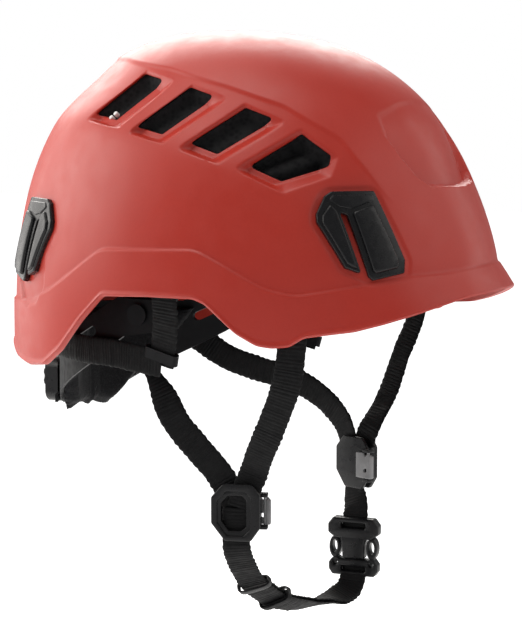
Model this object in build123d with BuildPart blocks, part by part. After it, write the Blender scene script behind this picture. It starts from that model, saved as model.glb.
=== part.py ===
from build123d import *
from math import atan2, cos, degrees, pi, radians, sin, sqrt
import os

# A climbing helmet: a hard shell over a foam liner, a headband with a dial-tightened nape
# cradle, four headlamp clips, and webbing that meets at two dividers and one chin buckle.
# Millimetres. +Z is up, the front faces -Y and the wearer's left is +X. The origin lies on
# the midline, under the crown, in the level plane where the shell is widest.

# ---- driving dimensions -------------------------------------------------------------
half_width = 112.0          # shell, from the midline to the side
front_length = 147.0        # shell, from the origin forward
rear_length = 120.0         # shell, from the origin back
crown_height = 156.0        # shell, above the origin plane
crown_power = 2.4           # how square the dome's profile is
wall = 3.0                  # shell wall
panel_step = 1.2            # the panel above the crease is set in by this
brim_reach = 180.0          # the brim's slope, carried down to the origin plane
skirt = -40.0               # lowest plane of the uncut dome

liner_thick = 14.0
liner_gap = 0.4

band_half = 79.0            # headband, outer face
band_front = 108.0
band_rear = 95.0
band_thick = 1.8

cradle_half = 82.0          # nape cradle, outer face
cradle_rear = 98.0
cradle_thick = 2.0
pivot_y = 10.0              # nape cradle's side pivots
pivot_z = 10.0

dial_z = -38.0              # adjusting dial's axis height
dial_radius = 14.0
housing_rear = 106.5
knob_depth = 7.0
rack_centre_y = 29.5        # the rack straps bend about a vertical line here
rack_radius = 71.2
rack_thick = 1.5
pinion_pitch = 5.0
pinion_teeth = 10

webbing_width = 15.0
webbing_thick = 1.5

divider_width = 26.0
divider_height = 30.0
divider_depth = 8.0
lever_lift = 4.6            # lever pin, above the divider's middle plane

buckle_width = 28.0
buckle_depth = 7.0

peg_radius = 2.2            # pegs that hold the headlamp clips in the shell
dial_shaft = 2.2

RIGHT = -1
LEFT = 1

# ---- side outlines, as (y, z) -------------------------------------------------------
rim_line = [
    (-190, 22.8), (-156, 22.8), (-152.5, 22), (-148, 20.5), (-141, 17.6), (-132.5, 14.2), (-122, 10.8),
    (-110, 7.4), (-96, 5.8), (-88, 4.5),
    (-82, 0.5), (-68, 0.5), (-58, 6.5), (-49, 15), (-43, 21), (-37, 23.5),
    (14, 22.5), (29, 8), (44, -8), (57, -17), (71, -19), (87, -17.5), (105, -12), (130, -9),
]
crease_line = [
    (-175, 37), (-147, 35.5), (-139, 33.5), (-127, 33), (-114, 30), (-99, 27), (-85, 24), (-71, 28),
    (-51, 39.5), (-37, 46.7), (16, 45.2), (36, 32), (52, 22.4), (72, 15), (130, 9),
]
vents = [
    [(15, 133), (0, 130), (22, 108), (38, 111)],
    [(-16, 126), (-31, 122), (-9, 102), (6, 105.5)],
    [(-48, 116.5), (-64, 111), (-41, 92.5), (-25, 98)],
    [(-77, 104), (-92, 93.5), (-92, 87.5), (-73, 79.5), (-57, 87)],
]
cradle_outline = [
    (-4, 18), (24, 18), (46, 6), (66, 0), (110, 4), (110, -52), (94, -50), (80, -38),
    (62, -28), (44, -18), (20, -2), (-4, 2),
]


# ---- shared builders ----------------------------------------------------------------
def egg(half, front, rear):
    """Points round an egg-shaped outline, wide side to wide side."""
    turns = [2 * pi * i / 24 for i in range(24)]
    return [(half * cos(t), (rear if sin(t) > 0 else front) * sin(t)) for t in turns]


def dome(inset, base=skirt):
    """The egg-shaped dome, offset inward by inset, lofted through level outlines."""
    tall = crown_height - inset
    with BuildPart() as whole:
        levels = [(base, 1.0), (base / 2, 1.0)]
        for step in range(10):
            t = radians(step * 9.7)
            levels.append((tall * sin(t) ** (2 / crown_power), cos(t) ** (2 / crown_power)))
        for z, shrink in levels:
            with BuildSketch(Plane.XY.offset(z)):
                with BuildLine():
                    ring = egg(
                        (half_width - inset) * shrink,
                        (front_length - inset) * shrink,
                        (rear_length - inset) * shrink,
                    )
                    Spline(ring, periodic=True)
                make_face()
        loft()
    return whole.part


def side_prism(points, near, far):
    """A (y, z) outline carried along X from near to far."""
    with BuildPart() as prism:
        with BuildSketch(Plane.YZ.offset(near)):
            with BuildLine():
                Polyline(points, close=True)
            make_face()
        extrude(amount=far - near)
    return prism.part


def egg_wall(half, front, rear, thick, low, high):
    """An upright egg-shaped band."""
    with BuildPart() as band:
        for reach, side in ((front, -1), (rear, 1)):
            with BuildSketch(Plane.XY.offset(low)):
                Ellipse(half, reach)
                Ellipse(half - thick, reach - thick, mode=Mode.SUBTRACT)
                with Locations((0, side * reach)):
                    Rectangle(4 * half, 2 * reach, mode=Mode.INTERSECT)
            extrude(amount=high - low)
    return band.part


def webbing(run, wide=webbing_width, thick=webbing_thick):
    """Flat webbing through stations of (point, outward face direction)."""
    points = [Vector(*point) for point, _ in run]
    with BuildPart() as strap:
        for i, (_, face) in enumerate(run):
            ahead = points[min(i + 1, len(run) - 1)] - points[max(i - 1, 0)]
            across = Vector(*face).cross(ahead)
            with BuildSketch(Plane(origin=points[i], x_dir=across, z_dir=ahead)):
                Rectangle(wide, thick)
        loft(ruled=True)
    return strap.part


def mirrored(run):
    """The same run on the other side of the midline."""
    return [((-p[0], p[1], p[2]), (-n[0], n[1], n[2])) for p, n in run]


def spot(plane, x, y, z=0.0):
    """A point given in a plane's own coordinates."""
    place = plane.origin + plane.x_dir * x + plane.y_dir * y + plane.z_dir * z
    return (place.X, place.Y, place.Z)


def upright(origin, normal):
    """A plane facing normal, with its own y pointing up."""
    return Plane(origin=origin, x_dir=(-normal[1], normal[0], 0), z_dir=normal)


def ring(run, wide, tall, deep):
    """A small loop round webbing at the middle station of run."""
    point, face = run[len(run) // 2]
    ahead = Vector(*run[-1][0]) - Vector(*run[0][0])
    across = Vector(*face).cross(ahead)
    with BuildPart() as loop:
        with BuildSketch(Plane(origin=point, x_dir=across, z_dir=ahead).offset(-tall / 2)):
            RectangleRounded(wide, deep, deep / 2 - 0.2)
        extrude(amount=tall)
        add(webbing(run, webbing_width + 0.6, webbing_thick + 0.6), mode=Mode.SUBTRACT)
    return loop.part


# headlamp clip seats: front and rear, right and left; flip turns the outline round
clip_seats = [
    (upright((-69, -108, 55), (-0.74, -0.67, 0.25)), 1),
    (upright((69, -108, 55), (0.74, -0.67, 0.25)), -1),
    (upright((-86.3, 69.5, 47), (-0.833, 0.552, 0.2)), -1),
    (upright((86.3, 69.5, 47), (0.833, 0.552, 0.2)), 1),
]

# ---- outer shell --------------------------------------------------------------------
below_crease = crease_line + [(130, -60), (-175, -60)]
above_crease = crease_line + [(130, 200), (-175, 200)]
below_rim = rim_line + [(130, -60), (-190, -60)]
inner_inset = wall + panel_step

with BuildPart() as upper_panel:
    add(dome(panel_step))
    add(side_prism(above_crease, -150, 150), mode=Mode.INTERSECT)

with BuildPart() as flare:
    with BuildSketch(Plane.XY):
        Ellipse(109.5, brim_reach)
    with BuildSketch(Plane.XY.offset(31)):
        Ellipse(109.5, front_length - 0.4)
    loft(ruled=True)
    with Locations((0, -75, 15)):
        Box(300, 400, 60, align=(Align.CENTER, Align.MIN, Align.CENTER), mode=Mode.SUBTRACT)

with BuildPart() as scoop:
    with BuildSketch(Plane.XZ.offset(80)):
        with BuildLine():
            Polyline((-36, 112), (36, 112), (31, 84), (22, 76), (-22, 76), (-31, 84), close=True)
        make_face()
    extrude(amount=80)
    add(dome(panel_step + 1.3), mode=Mode.SUBTRACT)

with BuildPart() as shell:
    add(dome(0.0))
    add(side_prism(above_crease, -150, 150), mode=Mode.SUBTRACT)
    add(upper_panel.part)
    add(flare.part)
    add(scoop.part, mode=Mode.SUBTRACT)
    add(dome(inner_inset, skirt - 5), mode=Mode.SUBTRACT)
    add(side_prism(below_rim, -150, 150), mode=Mode.SUBTRACT)
    for outline in vents:
        for near in (-140, 40):
            add(side_prism(outline, near, near + 100), mode=Mode.SUBTRACT)
    for plane, flip in clip_seats:
        with BuildSketch(plane.offset(-12)):
            with Locations((flip * 2, 14), (flip * 12, -12)):
                Circle(peg_radius + 0.05)
        extrude(amount=24, mode=Mode.SUBTRACT)
shell.part.label = "shell"

# ---- foam liner and comfort pads ----------------------------------------------------
liner_line = [(-175, 42), (-60, 42), (-45, 36), (20, 36), (60, 30), (130, 22)]
with BuildPart() as liner:
    add(dome(inner_inset + liner_gap))
    add(dome(inner_inset + liner_gap + liner_thick, skirt - 5), mode=Mode.SUBTRACT)
    add(side_prism(liner_line + [(130, -60), (-175, -60)], -150, 150), mode=Mode.SUBTRACT)
    with BuildSketch(Plane.YZ.offset(-140)):
        with Locations((24, 117), (30, 116)):
            Circle(2.2)
    extrude(amount=280, mode=Mode.SUBTRACT)
liner.part.label = "liner"

with BuildPart() as crown_pad:
    add(dome(inner_inset + liner_gap + liner_thick + 0.3))
    add(dome(inner_inset + liner_gap + liner_thick + 6.0, skirt - 5), mode=Mode.SUBTRACT)
    with BuildSketch(Plane.XY.offset(90)):
        Ellipse(34, 48)
    extrude(amount=60, mode=Mode.INTERSECT)
crown_pad.part.label = "crown_pad"

with BuildPart() as brow_pad:
    add(egg_wall(band_half - band_thick - 0.4, band_front - band_thick - 0.4, 90, 6, 19, 41))
    with Locations((0, -45, 30)):
        Box(300, 300, 40, align=(Align.CENTER, Align.MIN, Align.CENTER), mode=Mode.SUBTRACT)
brow_pad.part.label = "brow_pad"

# ---- headband -----------------------------------------------------------------------
band_side = [(-130, 20), (-12, 20), (0, 2), (20, 2), (22, 20), (20, 40), (-130, 40)]
with BuildPart() as headband:
    add(egg_wall(band_half, band_front, band_rear, band_thick, 0, 42))
    add(side_prism(band_side, -150, 150), mode=Mode.INTERSECT)
    with BuildSketch(Plane.YZ.offset(-140)):
        with Locations((pivot_y, pivot_z)):
            Circle(3.05)
        with Locations((-60, 30), (-40, 30), (-20, 30)):
            SlotOverall(12, 5)
    extrude(amount=280, mode=Mode.SUBTRACT)
headband.part.label = "headband"

# four blocks carry the headband off the shell: two beside the brow, two over the ears
with BuildPart() as band_hangers:
    for turn in (38, 92, -38, -92):
        inner = Vector(band_half * sin(radians(turn)), -band_front * cos(radians(turn)))
        outer = Vector(
            (half_width - inner_inset) * sin(radians(turn)),
            -(front_length - inner_inset) * cos(radians(turn)),
        )
        run = outer - inner
        seat = Plane(origin=(inner.X, inner.Y, 29), x_dir=(-run.Y, run.X, 0), z_dir=run)
        with BuildSketch(seat.offset(-8)):
            Rectangle(12, 9)
            Rectangle(8, 5, mode=Mode.SUBTRACT)
        extrude(amount=run.length + 16)
    add(egg_wall(160, 190, 190, 160 - band_half - 0.05, 20, 40), mode=Mode.INTERSECT)
    add(dome(inner_inset + 0.05), mode=Mode.INTERSECT)
band_hangers.part.label = "band_hangers"

# ---- nape cradle, its pad and the side pivots ---------------------------------------
with BuildPart() as nape_cradle:
    add(egg_wall(cradle_half, 108, cradle_rear, cradle_thick, -52, 20))
    add(side_prism(cradle_outline, -150, 150), mode=Mode.INTERSECT)
    with BuildSketch(Plane.YZ.offset(-140)):
        with Locations((pivot_y, pivot_z)):
            Circle(3.05)
        with Locations(Location((50, -5), -27)):
            SlotOverall(22, 5)
        with Locations(Location((74, -14), -6)):
            SlotOverall(10, 5)
    extrude(amount=280, mode=Mode.SUBTRACT)
nape_cradle.part.label = "nape_cradle"

pad_outline = [
    (36, 4), (60, -4), (110, 0), (110, -55), (92, -55), (86, -47), (76, -44), (64, -36),
    (52, -32), (42, -22), (34, -10),
]
with BuildPart() as nape_pad:
    add(egg_wall(cradle_half - cradle_thick - 0.4, 100, cradle_rear - cradle_thick - 0.4, 7, -56, 10))
    add(side_prism(pad_outline, -150, 150), mode=Mode.INTERSECT)
nape_pad.part.label = "nape_pad"

with BuildPart() as pivot_pins:
    for side in (RIGHT, LEFT):
        with BuildSketch(Plane.YZ.offset(side * 75.6)):
            with Locations((pivot_y, pivot_z)):
                Circle(3.0)
        extrude(amount=side * 7.3)
        with BuildSketch(Plane.YZ.offset(side * 74.4)):
            with Locations((pivot_y, pivot_z)):
                Circle(5.5)
        extrude(amount=side * 1.2)
        with BuildSketch(Plane.YZ.offset(side * 82.3)):
            with Locations((pivot_y, pivot_z)):
                Circle(5.5)
        extrude(amount=side * 1.4)
        with BuildSketch(Plane.YZ.offset(side * 82.3)):
            with Locations((pivot_y, pivot_z)):
                Circle(3.0)
        extrude(amount=side * 0.6)
pivot_pins.part.label = "pivot_pins"

# ---- adjusting dial: housing, rack straps, pinion, knob -----------------------------
with BuildPart() as dial_housing:
    with Locations((0, housing_rear, dial_z)):
        Box(46, 20, 25, align=(Align.CENTER, Align.MAX, Align.CENTER))
    fillet(dial_housing.edges().filter_by(Axis.Y), 6)
    with BuildSketch(Plane.XY.offset(-60)):
        Ellipse(cradle_half + 0.05, cradle_rear + 0.05)
    extrude(amount=50, mode=Mode.SUBTRACT)
    with BuildSketch(Plane.XY.offset(dial_z - 10.9)):
        with Locations((0, rack_centre_y)):
            Circle(rack_radius + 1.2)
            Circle(rack_radius - 1.2, mode=Mode.SUBTRACT)
    extrude(amount=21.8, mode=Mode.SUBTRACT)
    with BuildSketch(Plane.XZ.offset(-95)):
        with Locations((0, dial_z)):
            Circle(pinion_pitch + 1.5)
    extrude(amount=-8, mode=Mode.SUBTRACT)
    with BuildSketch(Plane.XZ.offset(-95)):
        with Locations((0, dial_z)):
            Circle(dial_shaft + 0.06)
    extrude(amount=-20, mode=Mode.SUBTRACT)
dial_housing.part.label = "dial_housing"


def rack(side):
    """A curved rack strap, toothed along the edge that faces the pinion."""
    with BuildPart() as strap:
        with BuildSketch(Plane.XY.offset(dial_z + side * (pinion_pitch + 1.4))):
            with BuildLine():
                near = Vector(0, rack_centre_y) + Vector(200, 0).rotate(Axis.Z, 90 - side * 27)
                far = Vector(0, rack_centre_y) + Vector(200, 0).rotate(Axis.Z, 90 + side * 13)
                Polyline((0, rack_centre_y), near, far, close=True)
            make_face()
            with Locations((0, rack_centre_y)):
                Circle(rack_radius + rack_thick / 2, mode=Mode.INTERSECT)
                Circle(rack_radius - rack_thick / 2, mode=Mode.SUBTRACT)
        extrude(amount=side * 4.2)
        step = degrees(2 * pi * pinion_pitch / pinion_teeth / rack_radius)
        for i in range(-4, 4):
            turn = radians((i + 0.5) * step)
            rear = Plane(
                origin=(0, rack_centre_y, dial_z + side * pinion_pitch),
                x_dir=(cos(turn), sin(turn), 0),
                z_dir=(-sin(turn), cos(turn), 0),
            )
            with BuildSketch(rear.offset(rack_radius - rack_thick / 2)):
                with BuildLine():
                    Polyline(
                        (-0.85, -side * 1.6), (-0.3, side * 0.8),
                        (0.3, side * 0.8), (0.85, -side * 1.6), close=True,
                    )
                make_face()
            extrude(amount=rack_thick)
    return strap.part


with BuildPart() as rack_left:
    add(rack(LEFT))
rack_left.part.label = "rack_left"
with BuildPart() as rack_right:
    add(rack(RIGHT))
rack_right.part.label = "rack_right"

with BuildPart() as pinion:
    with BuildSketch(Plane.XZ.offset(-99.9)):
        with Locations((0, dial_z)):
            Circle(3.8)
        for tooth in range(pinion_teeth):
            turn = 90 + 360 * tooth / pinion_teeth
            with BuildLine():
                corners = [(3.5, -0.85), (5.8, -0.3), (5.8, 0.3), (3.5, 0.85)]
                flanks = [Vector(*c).rotate(Axis.Z, turn) + Vector(0, dial_z) for c in corners]
                Polyline(flanks, close=True)
            make_face()
        with Locations((0, dial_z)):
            Circle(dial_shaft, mode=Mode.SUBTRACT)
    extrude(amount=-1.7)
pinion.part.label = "pinion"

with BuildPart() as dial_knob:
    with BuildSketch(Plane.XZ.offset(-housing_rear - 0.6)):
        with Locations((0, dial_z)):
            Circle(dial_radius)
            with PolarLocations(dial_radius + 1.2, 14):
                Circle(2.2, mode=Mode.SUBTRACT)
    extrude(amount=-knob_depth)
    chamfer(dial_knob.faces().sort_by(Axis.Y)[-1].edges(), 0.8)
    with BuildSketch(Plane.XZ.offset(-housing_rear - 0.6 - knob_depth)):
        with Locations((0, dial_z)):
            Circle(8.5)
    extrude(amount=1.2, mode=Mode.SUBTRACT)
    with BuildSketch(Plane.XZ.offset(-99.2)):
        with Locations((0, dial_z)):
            Circle(dial_shaft)
    extrude(amount=-10.0)
dial_knob.part.label = "dial_knob"

# ---- headlamp clips -----------------------------------------------------------------
clip_outline = [
    (-12, 21.5), (10, 21.5), (24.5, -13), (24, -19.5), (7, -23), (1, -20), (-7, -16.5),
    (-20, 6.5), (-20, 10.5), (-15.3, 19.4),
]
clip_slot = [(-9, 11), (-5.5, 9.5), (6.4, -26), (2.6, -26)]


def lamp_clip(plane, flip):
    """A clip that hugs the shell, split by a slanting slot, on two pegs."""
    with BuildPart() as pegs:
        with BuildSketch(plane.offset(-12)):
            with Locations((flip * 2, 14), (flip * 12, -12)):
                Circle(peg_radius)
        extrude(amount=24)
        add(dome(0.9), mode=Mode.INTERSECT)
        add(dome(inner_inset - 0.1, skirt - 5), mode=Mode.SUBTRACT)
    with BuildPart() as clip:
        with BuildSketch(plane.offset(-14)):
            with BuildLine():
                Polyline([(flip * x, y) for x, y in clip_outline], close=True)
            make_face()
            with BuildLine():
                Polyline([(flip * x, y) for x, y in clip_slot], close=True)
            make_face(mode=Mode.SUBTRACT)
        extrude(amount=30)
        add(dome(-3.4), mode=Mode.INTERSECT)
        add(dome(panel_step - 0.05, skirt - 5), mode=Mode.SUBTRACT)
        add(pegs.part)
    return clip.part


with BuildPart() as clip_front_right:
    add(lamp_clip(*clip_seats[0]))
clip_front_right.part.label = "clip_front_right"
with BuildPart() as clip_front_left:
    add(lamp_clip(*clip_seats[1]))
clip_front_left.part.label = "clip_front_left"
with BuildPart() as clip_rear_right:
    add(lamp_clip(*clip_seats[2]))
clip_rear_right.part.label = "clip_rear_right"
with BuildPart() as clip_rear_left:
    add(lamp_clip(*clip_seats[3]))
clip_rear_left.part.label = "clip_rear_left"

# ---- webbing routes, as (point, outward face direction) -----------------------------
divider_right_plane = upright((-70, -41, -90), (-0.94, -0.34, 0))
divider_left_plane = upright((70, -42, -87), (0.94, -0.34, 0))
buckle_plane = upright((62, -45, -134), (-0.995, -0.1, 0))
out_right = (-0.94, -0.34, 0)
out_left = (0.94, -0.34, 0)

front_right_run = [
    ((-85.5, -79, 14), (-0.886, -0.465, 0)),
    ((-85.5, -79, 0), (-0.886, -0.465, 0)),
    ((-84.5, -76, -18), (-0.886, -0.465, 0)),
    ((-80, -67, -41), (-0.9, -0.43, 0.1)),
    ((-74, -56, -60), (-0.92, -0.38, 0.1)),
    (spot(divider_right_plane, 8.5, 19, 1), out_right),
    (spot(divider_right_plane, 5, 11, 1), out_right),
    (spot(divider_right_plane, 2.5, 3, 1), out_right),
]
rear_right_run = [
    ((-81.5, 2, -17.5), (-0.45, -0.8, 0.3)),
    ((-79.5, -3, -30), (-0.75, -0.65, 0.1)),
    ((-78, -9, -43), (-0.92, -0.38, 0)),
    ((-75, -21, -58), out_right),
    (spot(divider_right_plane, -8.5, 19, -1), out_right),
    (spot(divider_right_plane, -5, 11, -1), out_right),
    (spot(divider_right_plane, -2.5, 3, -1), out_right),
]
side_right_run = [
    ((-92, -11, 31), (-1, 0, 0)),
    ((-91, -11, 22), (-1, 0, 0)),
    ((-87, -9, 4), (-1, 0, -0.2)),
    ((-83.5, -5, -10), (-0.97, 0, -0.2)),
]
front_left_run = [
    ((89, -73, 14), (0.886, -0.465, 0)),
    ((88, -71, -1), (0.886, -0.465, 0)),
    ((82, -63, -28), (0.9, -0.43, 0.1)),
    ((77, -57, -50), (0.92, -0.38, 0.1)),
    (spot(divider_left_plane, -8.5, 19, 1), out_left),
    (spot(divider_left_plane, -5, 11, 1), out_left),
    (spot(divider_left_plane, -2.5, 3, 1), out_left),
]
rear_left_run = [
    ((74.5, 42, -37), (0.85, 0.5, 0)),
    ((77, 26, -40), (0.95, 0.25, 0)),
    ((78.5, 0, -45), (1, 0, 0)),
    ((76, -20, -55), (0.97, -0.2, 0)),
    (spot(divider_left_plane, 8.5, 19, -1), out_left),
    (spot(divider_left_plane, 5, 11, -1), out_left),
    (spot(divider_left_plane, 2.5, 3, -1), out_left),
]
side_left_run = mirrored(side_right_run[:3]) + [((82, -4, -20), (0.97, 0, -0.2))]
lower_left_run = [
    (spot(divider_left_plane, 0, 1.5), out_left),
    (spot(divider_left_plane, 0, -8), out_left),
    (spot(divider_left_plane, 0, -16.5), (0.95, -0.3, 0)),
    (spot(buckle_plane, 0, 22), (0.99, -0.05, 0)),
    (spot(buckle_plane, 0, 16.9), (0.995, 0.1, 0)),
]
chin_run = [
    (spot(divider_right_plane, 0, 1.5), out_right),
    (spot(divider_right_plane, 0, -8), out_right),
    (spot(divider_right_plane, 0, -18), (-0.9, -0.33, -0.2)),
    ((-61, -39.5, -120), (-0.78, -0.33, -0.5)),
    ((-45, -38, -134), (-0.62, -0.35, -0.68)),
    ((-23, -39, -147), (-0.5, -0.38, -0.75)),
    ((0, -41, -155), (-0.4, -0.38, -0.8)),
    ((24, -43, -159), (-0.2, -0.3, -0.9)),
    ((43, -44.5, -159.5), (0.25, -0.1, -0.93)),
    ((56, -45.2, -156.5), (0.75, 0.05, -0.65)),
    (spot(buckle_plane, 0, -17.6), (0.995, 0.1, 0)),
]
nape_run = []
for step in range(11):
    turn = radians(167.3 - 13.12 * step)
    nape_run.append((
        ((cradle_half + 2.2) * cos(turn), (cradle_rear + 2.2) * sin(turn), -11 - max(step - 7, 0) * 3),
        (cos(turn), sin(turn), 0),
    ))

# ---- webbing ------------------------------------------------------------------------
with BuildPart() as strap_front_right:
    add(webbing(front_right_run))
strap_front_right.part.label = "strap_front_right"
with BuildPart() as strap_front_left:
    add(webbing(front_left_run))
strap_front_left.part.label = "strap_front_left"
with BuildPart() as strap_rear_right:
    add(webbing(rear_right_run))
strap_rear_right.part.label = "strap_rear_right"
with BuildPart() as strap_rear_left:
    add(webbing(rear_left_run))
strap_rear_left.part.label = "strap_rear_left"
with BuildPart() as strap_side_right:
    add(webbing(side_right_run))
strap_side_right.part.label = "strap_side_right"
with BuildPart() as strap_side_left:
    add(webbing(side_left_run))
strap_side_left.part.label = "strap_side_left"
with BuildPart() as strap_nape:
    add(webbing(nape_run))
strap_nape.part.label = "strap_nape"
with BuildPart() as strap_lower_left:
    add(webbing(lower_left_run))
strap_lower_left.part.label = "strap_lower_left"
with BuildPart() as strap_chin:
    add(webbing(chin_run))
strap_chin.part.label = "strap_chin"

# ---- webbing fittings ---------------------------------------------------------------
def anchor(run, wide):
    """The block that ties the top of a strap to the shell's inner face."""
    point, face = run[0]
    with BuildPart() as block:
        with BuildSketch(upright(point, face).offset(-2.4)):
            Rectangle(wide, 9)
        extrude(amount=40)
        add(webbing(run, webbing_width + 0.6, webbing_thick + 0.6), mode=Mode.SUBTRACT)
        add(dome(inner_inset + 0.05), mode=Mode.INTERSECT)
    return block.part


with BuildPart() as strap_anchors:
    add(anchor(front_right_run, 19))
    add(anchor(front_left_run, 19))
    add(anchor(side_right_run, 16.4))
    add(anchor(side_left_run, 16.4))
strap_anchors.part.label = "strap_anchors"

with BuildPart() as strap_guides:
    add(ring(side_right_run[2:] + [((-82.6, -3.6, -14), (-0.97, 0, -0.2))], 19, 6, 4.4))
    add(ring(side_left_run[2:] + [((81.2, -3, -24), (0.97, 0, -0.2))], 19, 6, 4.4))
strap_guides.part.label = "strap_guides"

with BuildPart() as strap_keeper:
    add(ring(chin_run[3:6], 20, 9, 5))
strap_keeper.part.label = "strap_keeper"

with BuildPart() as tail_loop:
    add(ring(chin_run[4:7], 17.6, 5, 4))
tail_loop.part.label = "tail_loop"

# ---- dividers, where front and rear webbing meet the chin webbing -------------------
divider_outline = [
    (-7, 15), (9, 15), (13, 9), (13, -8), (8, -15), (-6, -15), (-13, -6), (-13, 8),
]


def divider(plane, flip, runs):
    """A flat hollow link with a window, slots for the webbing and two lever ears."""
    with BuildPart() as link:
        with BuildSketch(plane.offset(-divider_depth / 2)):
            with BuildLine():
                Polyline([(flip * x, y) for x, y in divider_outline], close=True)
            make_face()
        extrude(amount=divider_depth)
        with BuildSketch(plane.offset(1.6)):
            with Locations((-flip * 1.5, 0)):
                RectangleRounded(13, 16, 3)
        extrude(amount=divider_depth, mode=Mode.SUBTRACT)
        with BuildSketch(Plane(origin=spot(plane, 0, -7.3), x_dir=plane.x_dir, z_dir=plane.y_dir)):
            with Locations((flip * 14.2, lever_lift)):
                Circle(2.3)
        extrude(amount=14.6, mode=Mode.SUBTRACT)
        for low in (-9.4, 7.4):
            with BuildSketch(
                Plane(origin=spot(plane, 0, low), x_dir=plane.x_dir, z_dir=plane.y_dir)
            ):
                with Locations((flip * 14.2, lever_lift)):
                    Circle(1.9)
                with Locations((flip * 12.4, lever_lift * 0.4)):
                    Rectangle(3.6, 3.0)
            extrude(amount=2.0)
        for run in runs:
            add(webbing(run, webbing_width + 0.6, webbing_thick + 0.6), mode=Mode.SUBTRACT)
        with BuildSketch(Plane(origin=spot(plane, 0, -9.5), x_dir=plane.x_dir, z_dir=plane.y_dir)):
            with Locations((flip * 14.2, lever_lift)):
                Circle(0.8)
        extrude(amount=19, mode=Mode.SUBTRACT)
    return link.part


def lever_pin(plane, flip):
    """The lever's steel pin."""
    with BuildPart() as pin:
        with BuildSketch(Plane(origin=spot(plane, 0, -9.4), x_dir=plane.x_dir, z_dir=plane.y_dir)):
            with Locations((flip * 14.2, lever_lift)):
                Circle(0.8)
        extrude(amount=18.8)
    return pin.part


def lever(plane, flip):
    """A clamping lever: a barrel on the pin, and a plate with a small hole."""
    with BuildPart() as plate:
        with BuildSketch(Plane(origin=spot(plane, 0, -7.0), x_dir=plane.x_dir, z_dir=plane.y_dir)):
            with Locations((flip * 14.2, lever_lift)):
                Circle(1.8)
            with Locations((flip * 9.9, lever_lift + 0.9)):
                Rectangle(8.6, 1.5)
            with Locations((flip * 14.2, lever_lift)):
                Circle(0.86, mode=Mode.SUBTRACT)
        extrude(amount=14.0)
        with BuildSketch(plane):
            with Locations((flip * 9.4, 2)):
                Circle(1.5)
        extrude(amount=12, mode=Mode.SUBTRACT)
    return plate.part


right_runs = [front_right_run[-3:], rear_right_run[-3:], chin_run[:3]]
left_runs = [front_left_run[-3:], rear_left_run[-3:], lower_left_run[:3]]
with BuildPart() as divider_right:
    add(divider(divider_right_plane, 1, right_runs))
divider_right.part.label = "divider_right"
with BuildPart() as divider_left:
    add(divider(divider_left_plane, -1, left_runs))
divider_left.part.label = "divider_left"
with BuildPart() as lever_right:
    add(lever(divider_right_plane, 1))
lever_right.part.label = "lever_right"
with BuildPart() as lever_left:
    add(lever(divider_left_plane, -1))
lever_left.part.label = "lever_left"
with BuildPart() as lever_pins:
    add(lever_pin(divider_right_plane, 1))
    add(lever_pin(divider_left_plane, -1))
lever_pins.part.label = "lever_pins"

# ---- chin buckle --------------------------------------------------------------------
half_depth = buckle_depth / 2
with BuildPart() as buckle_socket:
    with BuildSketch(buckle_plane.offset(-half_depth)):
        with BuildLine():
            Polyline(
                (-15, 8.2), (-15, 13), (-12.5, 16.5), (12.5, 16.5), (15, 13), (15, 8.2),
                (6.2, 8.2), (6.2, -6.5), (-6.2, -6.5), (-6.2, 8.2), close=True,
            )
        make_face()
        with Locations((0, 12.2)):
            Rectangle(16.6, 3, mode=Mode.SUBTRACT)
    extrude(amount=buckle_depth)
    with BuildSketch(Plane(origin=spot(buckle_plane, 0, -6.5), x_dir=buckle_plane.x_dir, z_dir=(0, 0, 1))):
        Rectangle(9.0, 4.6)
    extrude(amount=11, mode=Mode.SUBTRACT)
buckle_socket.part.label = "buckle_socket"

arm_pivot = (10.6, -8.6)
with BuildPart() as buckle_tongue:
    with BuildSketch(buckle_plane.offset(0.2 - half_depth)):
        with BuildLine():
            Polyline(
                (-12, -16.5), (12, -16.5), (14.5, -13.5), (14.5, -9.2), (13.4, -7.2),
                (-13.4, -7.2), (-14.5, -9.2), (-14.5, -13.5), close=True,
            )
        make_face()
        with Locations((0, -12.6)):
            Rectangle(16.6, 3, mode=Mode.SUBTRACT)
        with Locations(arm_pivot, (-arm_pivot[0], arm_pivot[1])):
            Circle(2.95, mode=Mode.SUBTRACT)
    extrude(amount=buckle_depth - 0.4)
    with BuildSketch(buckle_plane.offset(-1.9)):
        with Locations((0, -2.2)):
            Rectangle(8.2, 11.4)
    extrude(amount=3.8)
buckle_tongue.part.label = "buckle_tongue"


def press_arm(side):
    """A sprung side arm: round foot, stem and an oval pad with a hole."""
    with BuildPart() as arm:
        with BuildSketch(buckle_plane.offset(0.5 - half_depth)):
            with Locations((side * arm_pivot[0], arm_pivot[1])):
                Circle(2.6)
            with Locations((side * 10.9, -6)):
                Rectangle(3.2, 5)
            with Locations((side * 11.0, -0.4)):
                Ellipse(3.2, 6.4)
                Ellipse(1.4, 3.2, mode=Mode.SUBTRACT)
        extrude(amount=buckle_depth - 1)
    return arm.part


with BuildPart() as press_arm_front:
    add(press_arm(1))
press_arm_front.part.label = "press_arm_front"
with BuildPart() as press_arm_rear:
    add(press_arm(-1))
press_arm_rear.part.label = "press_arm_rear"

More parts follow.
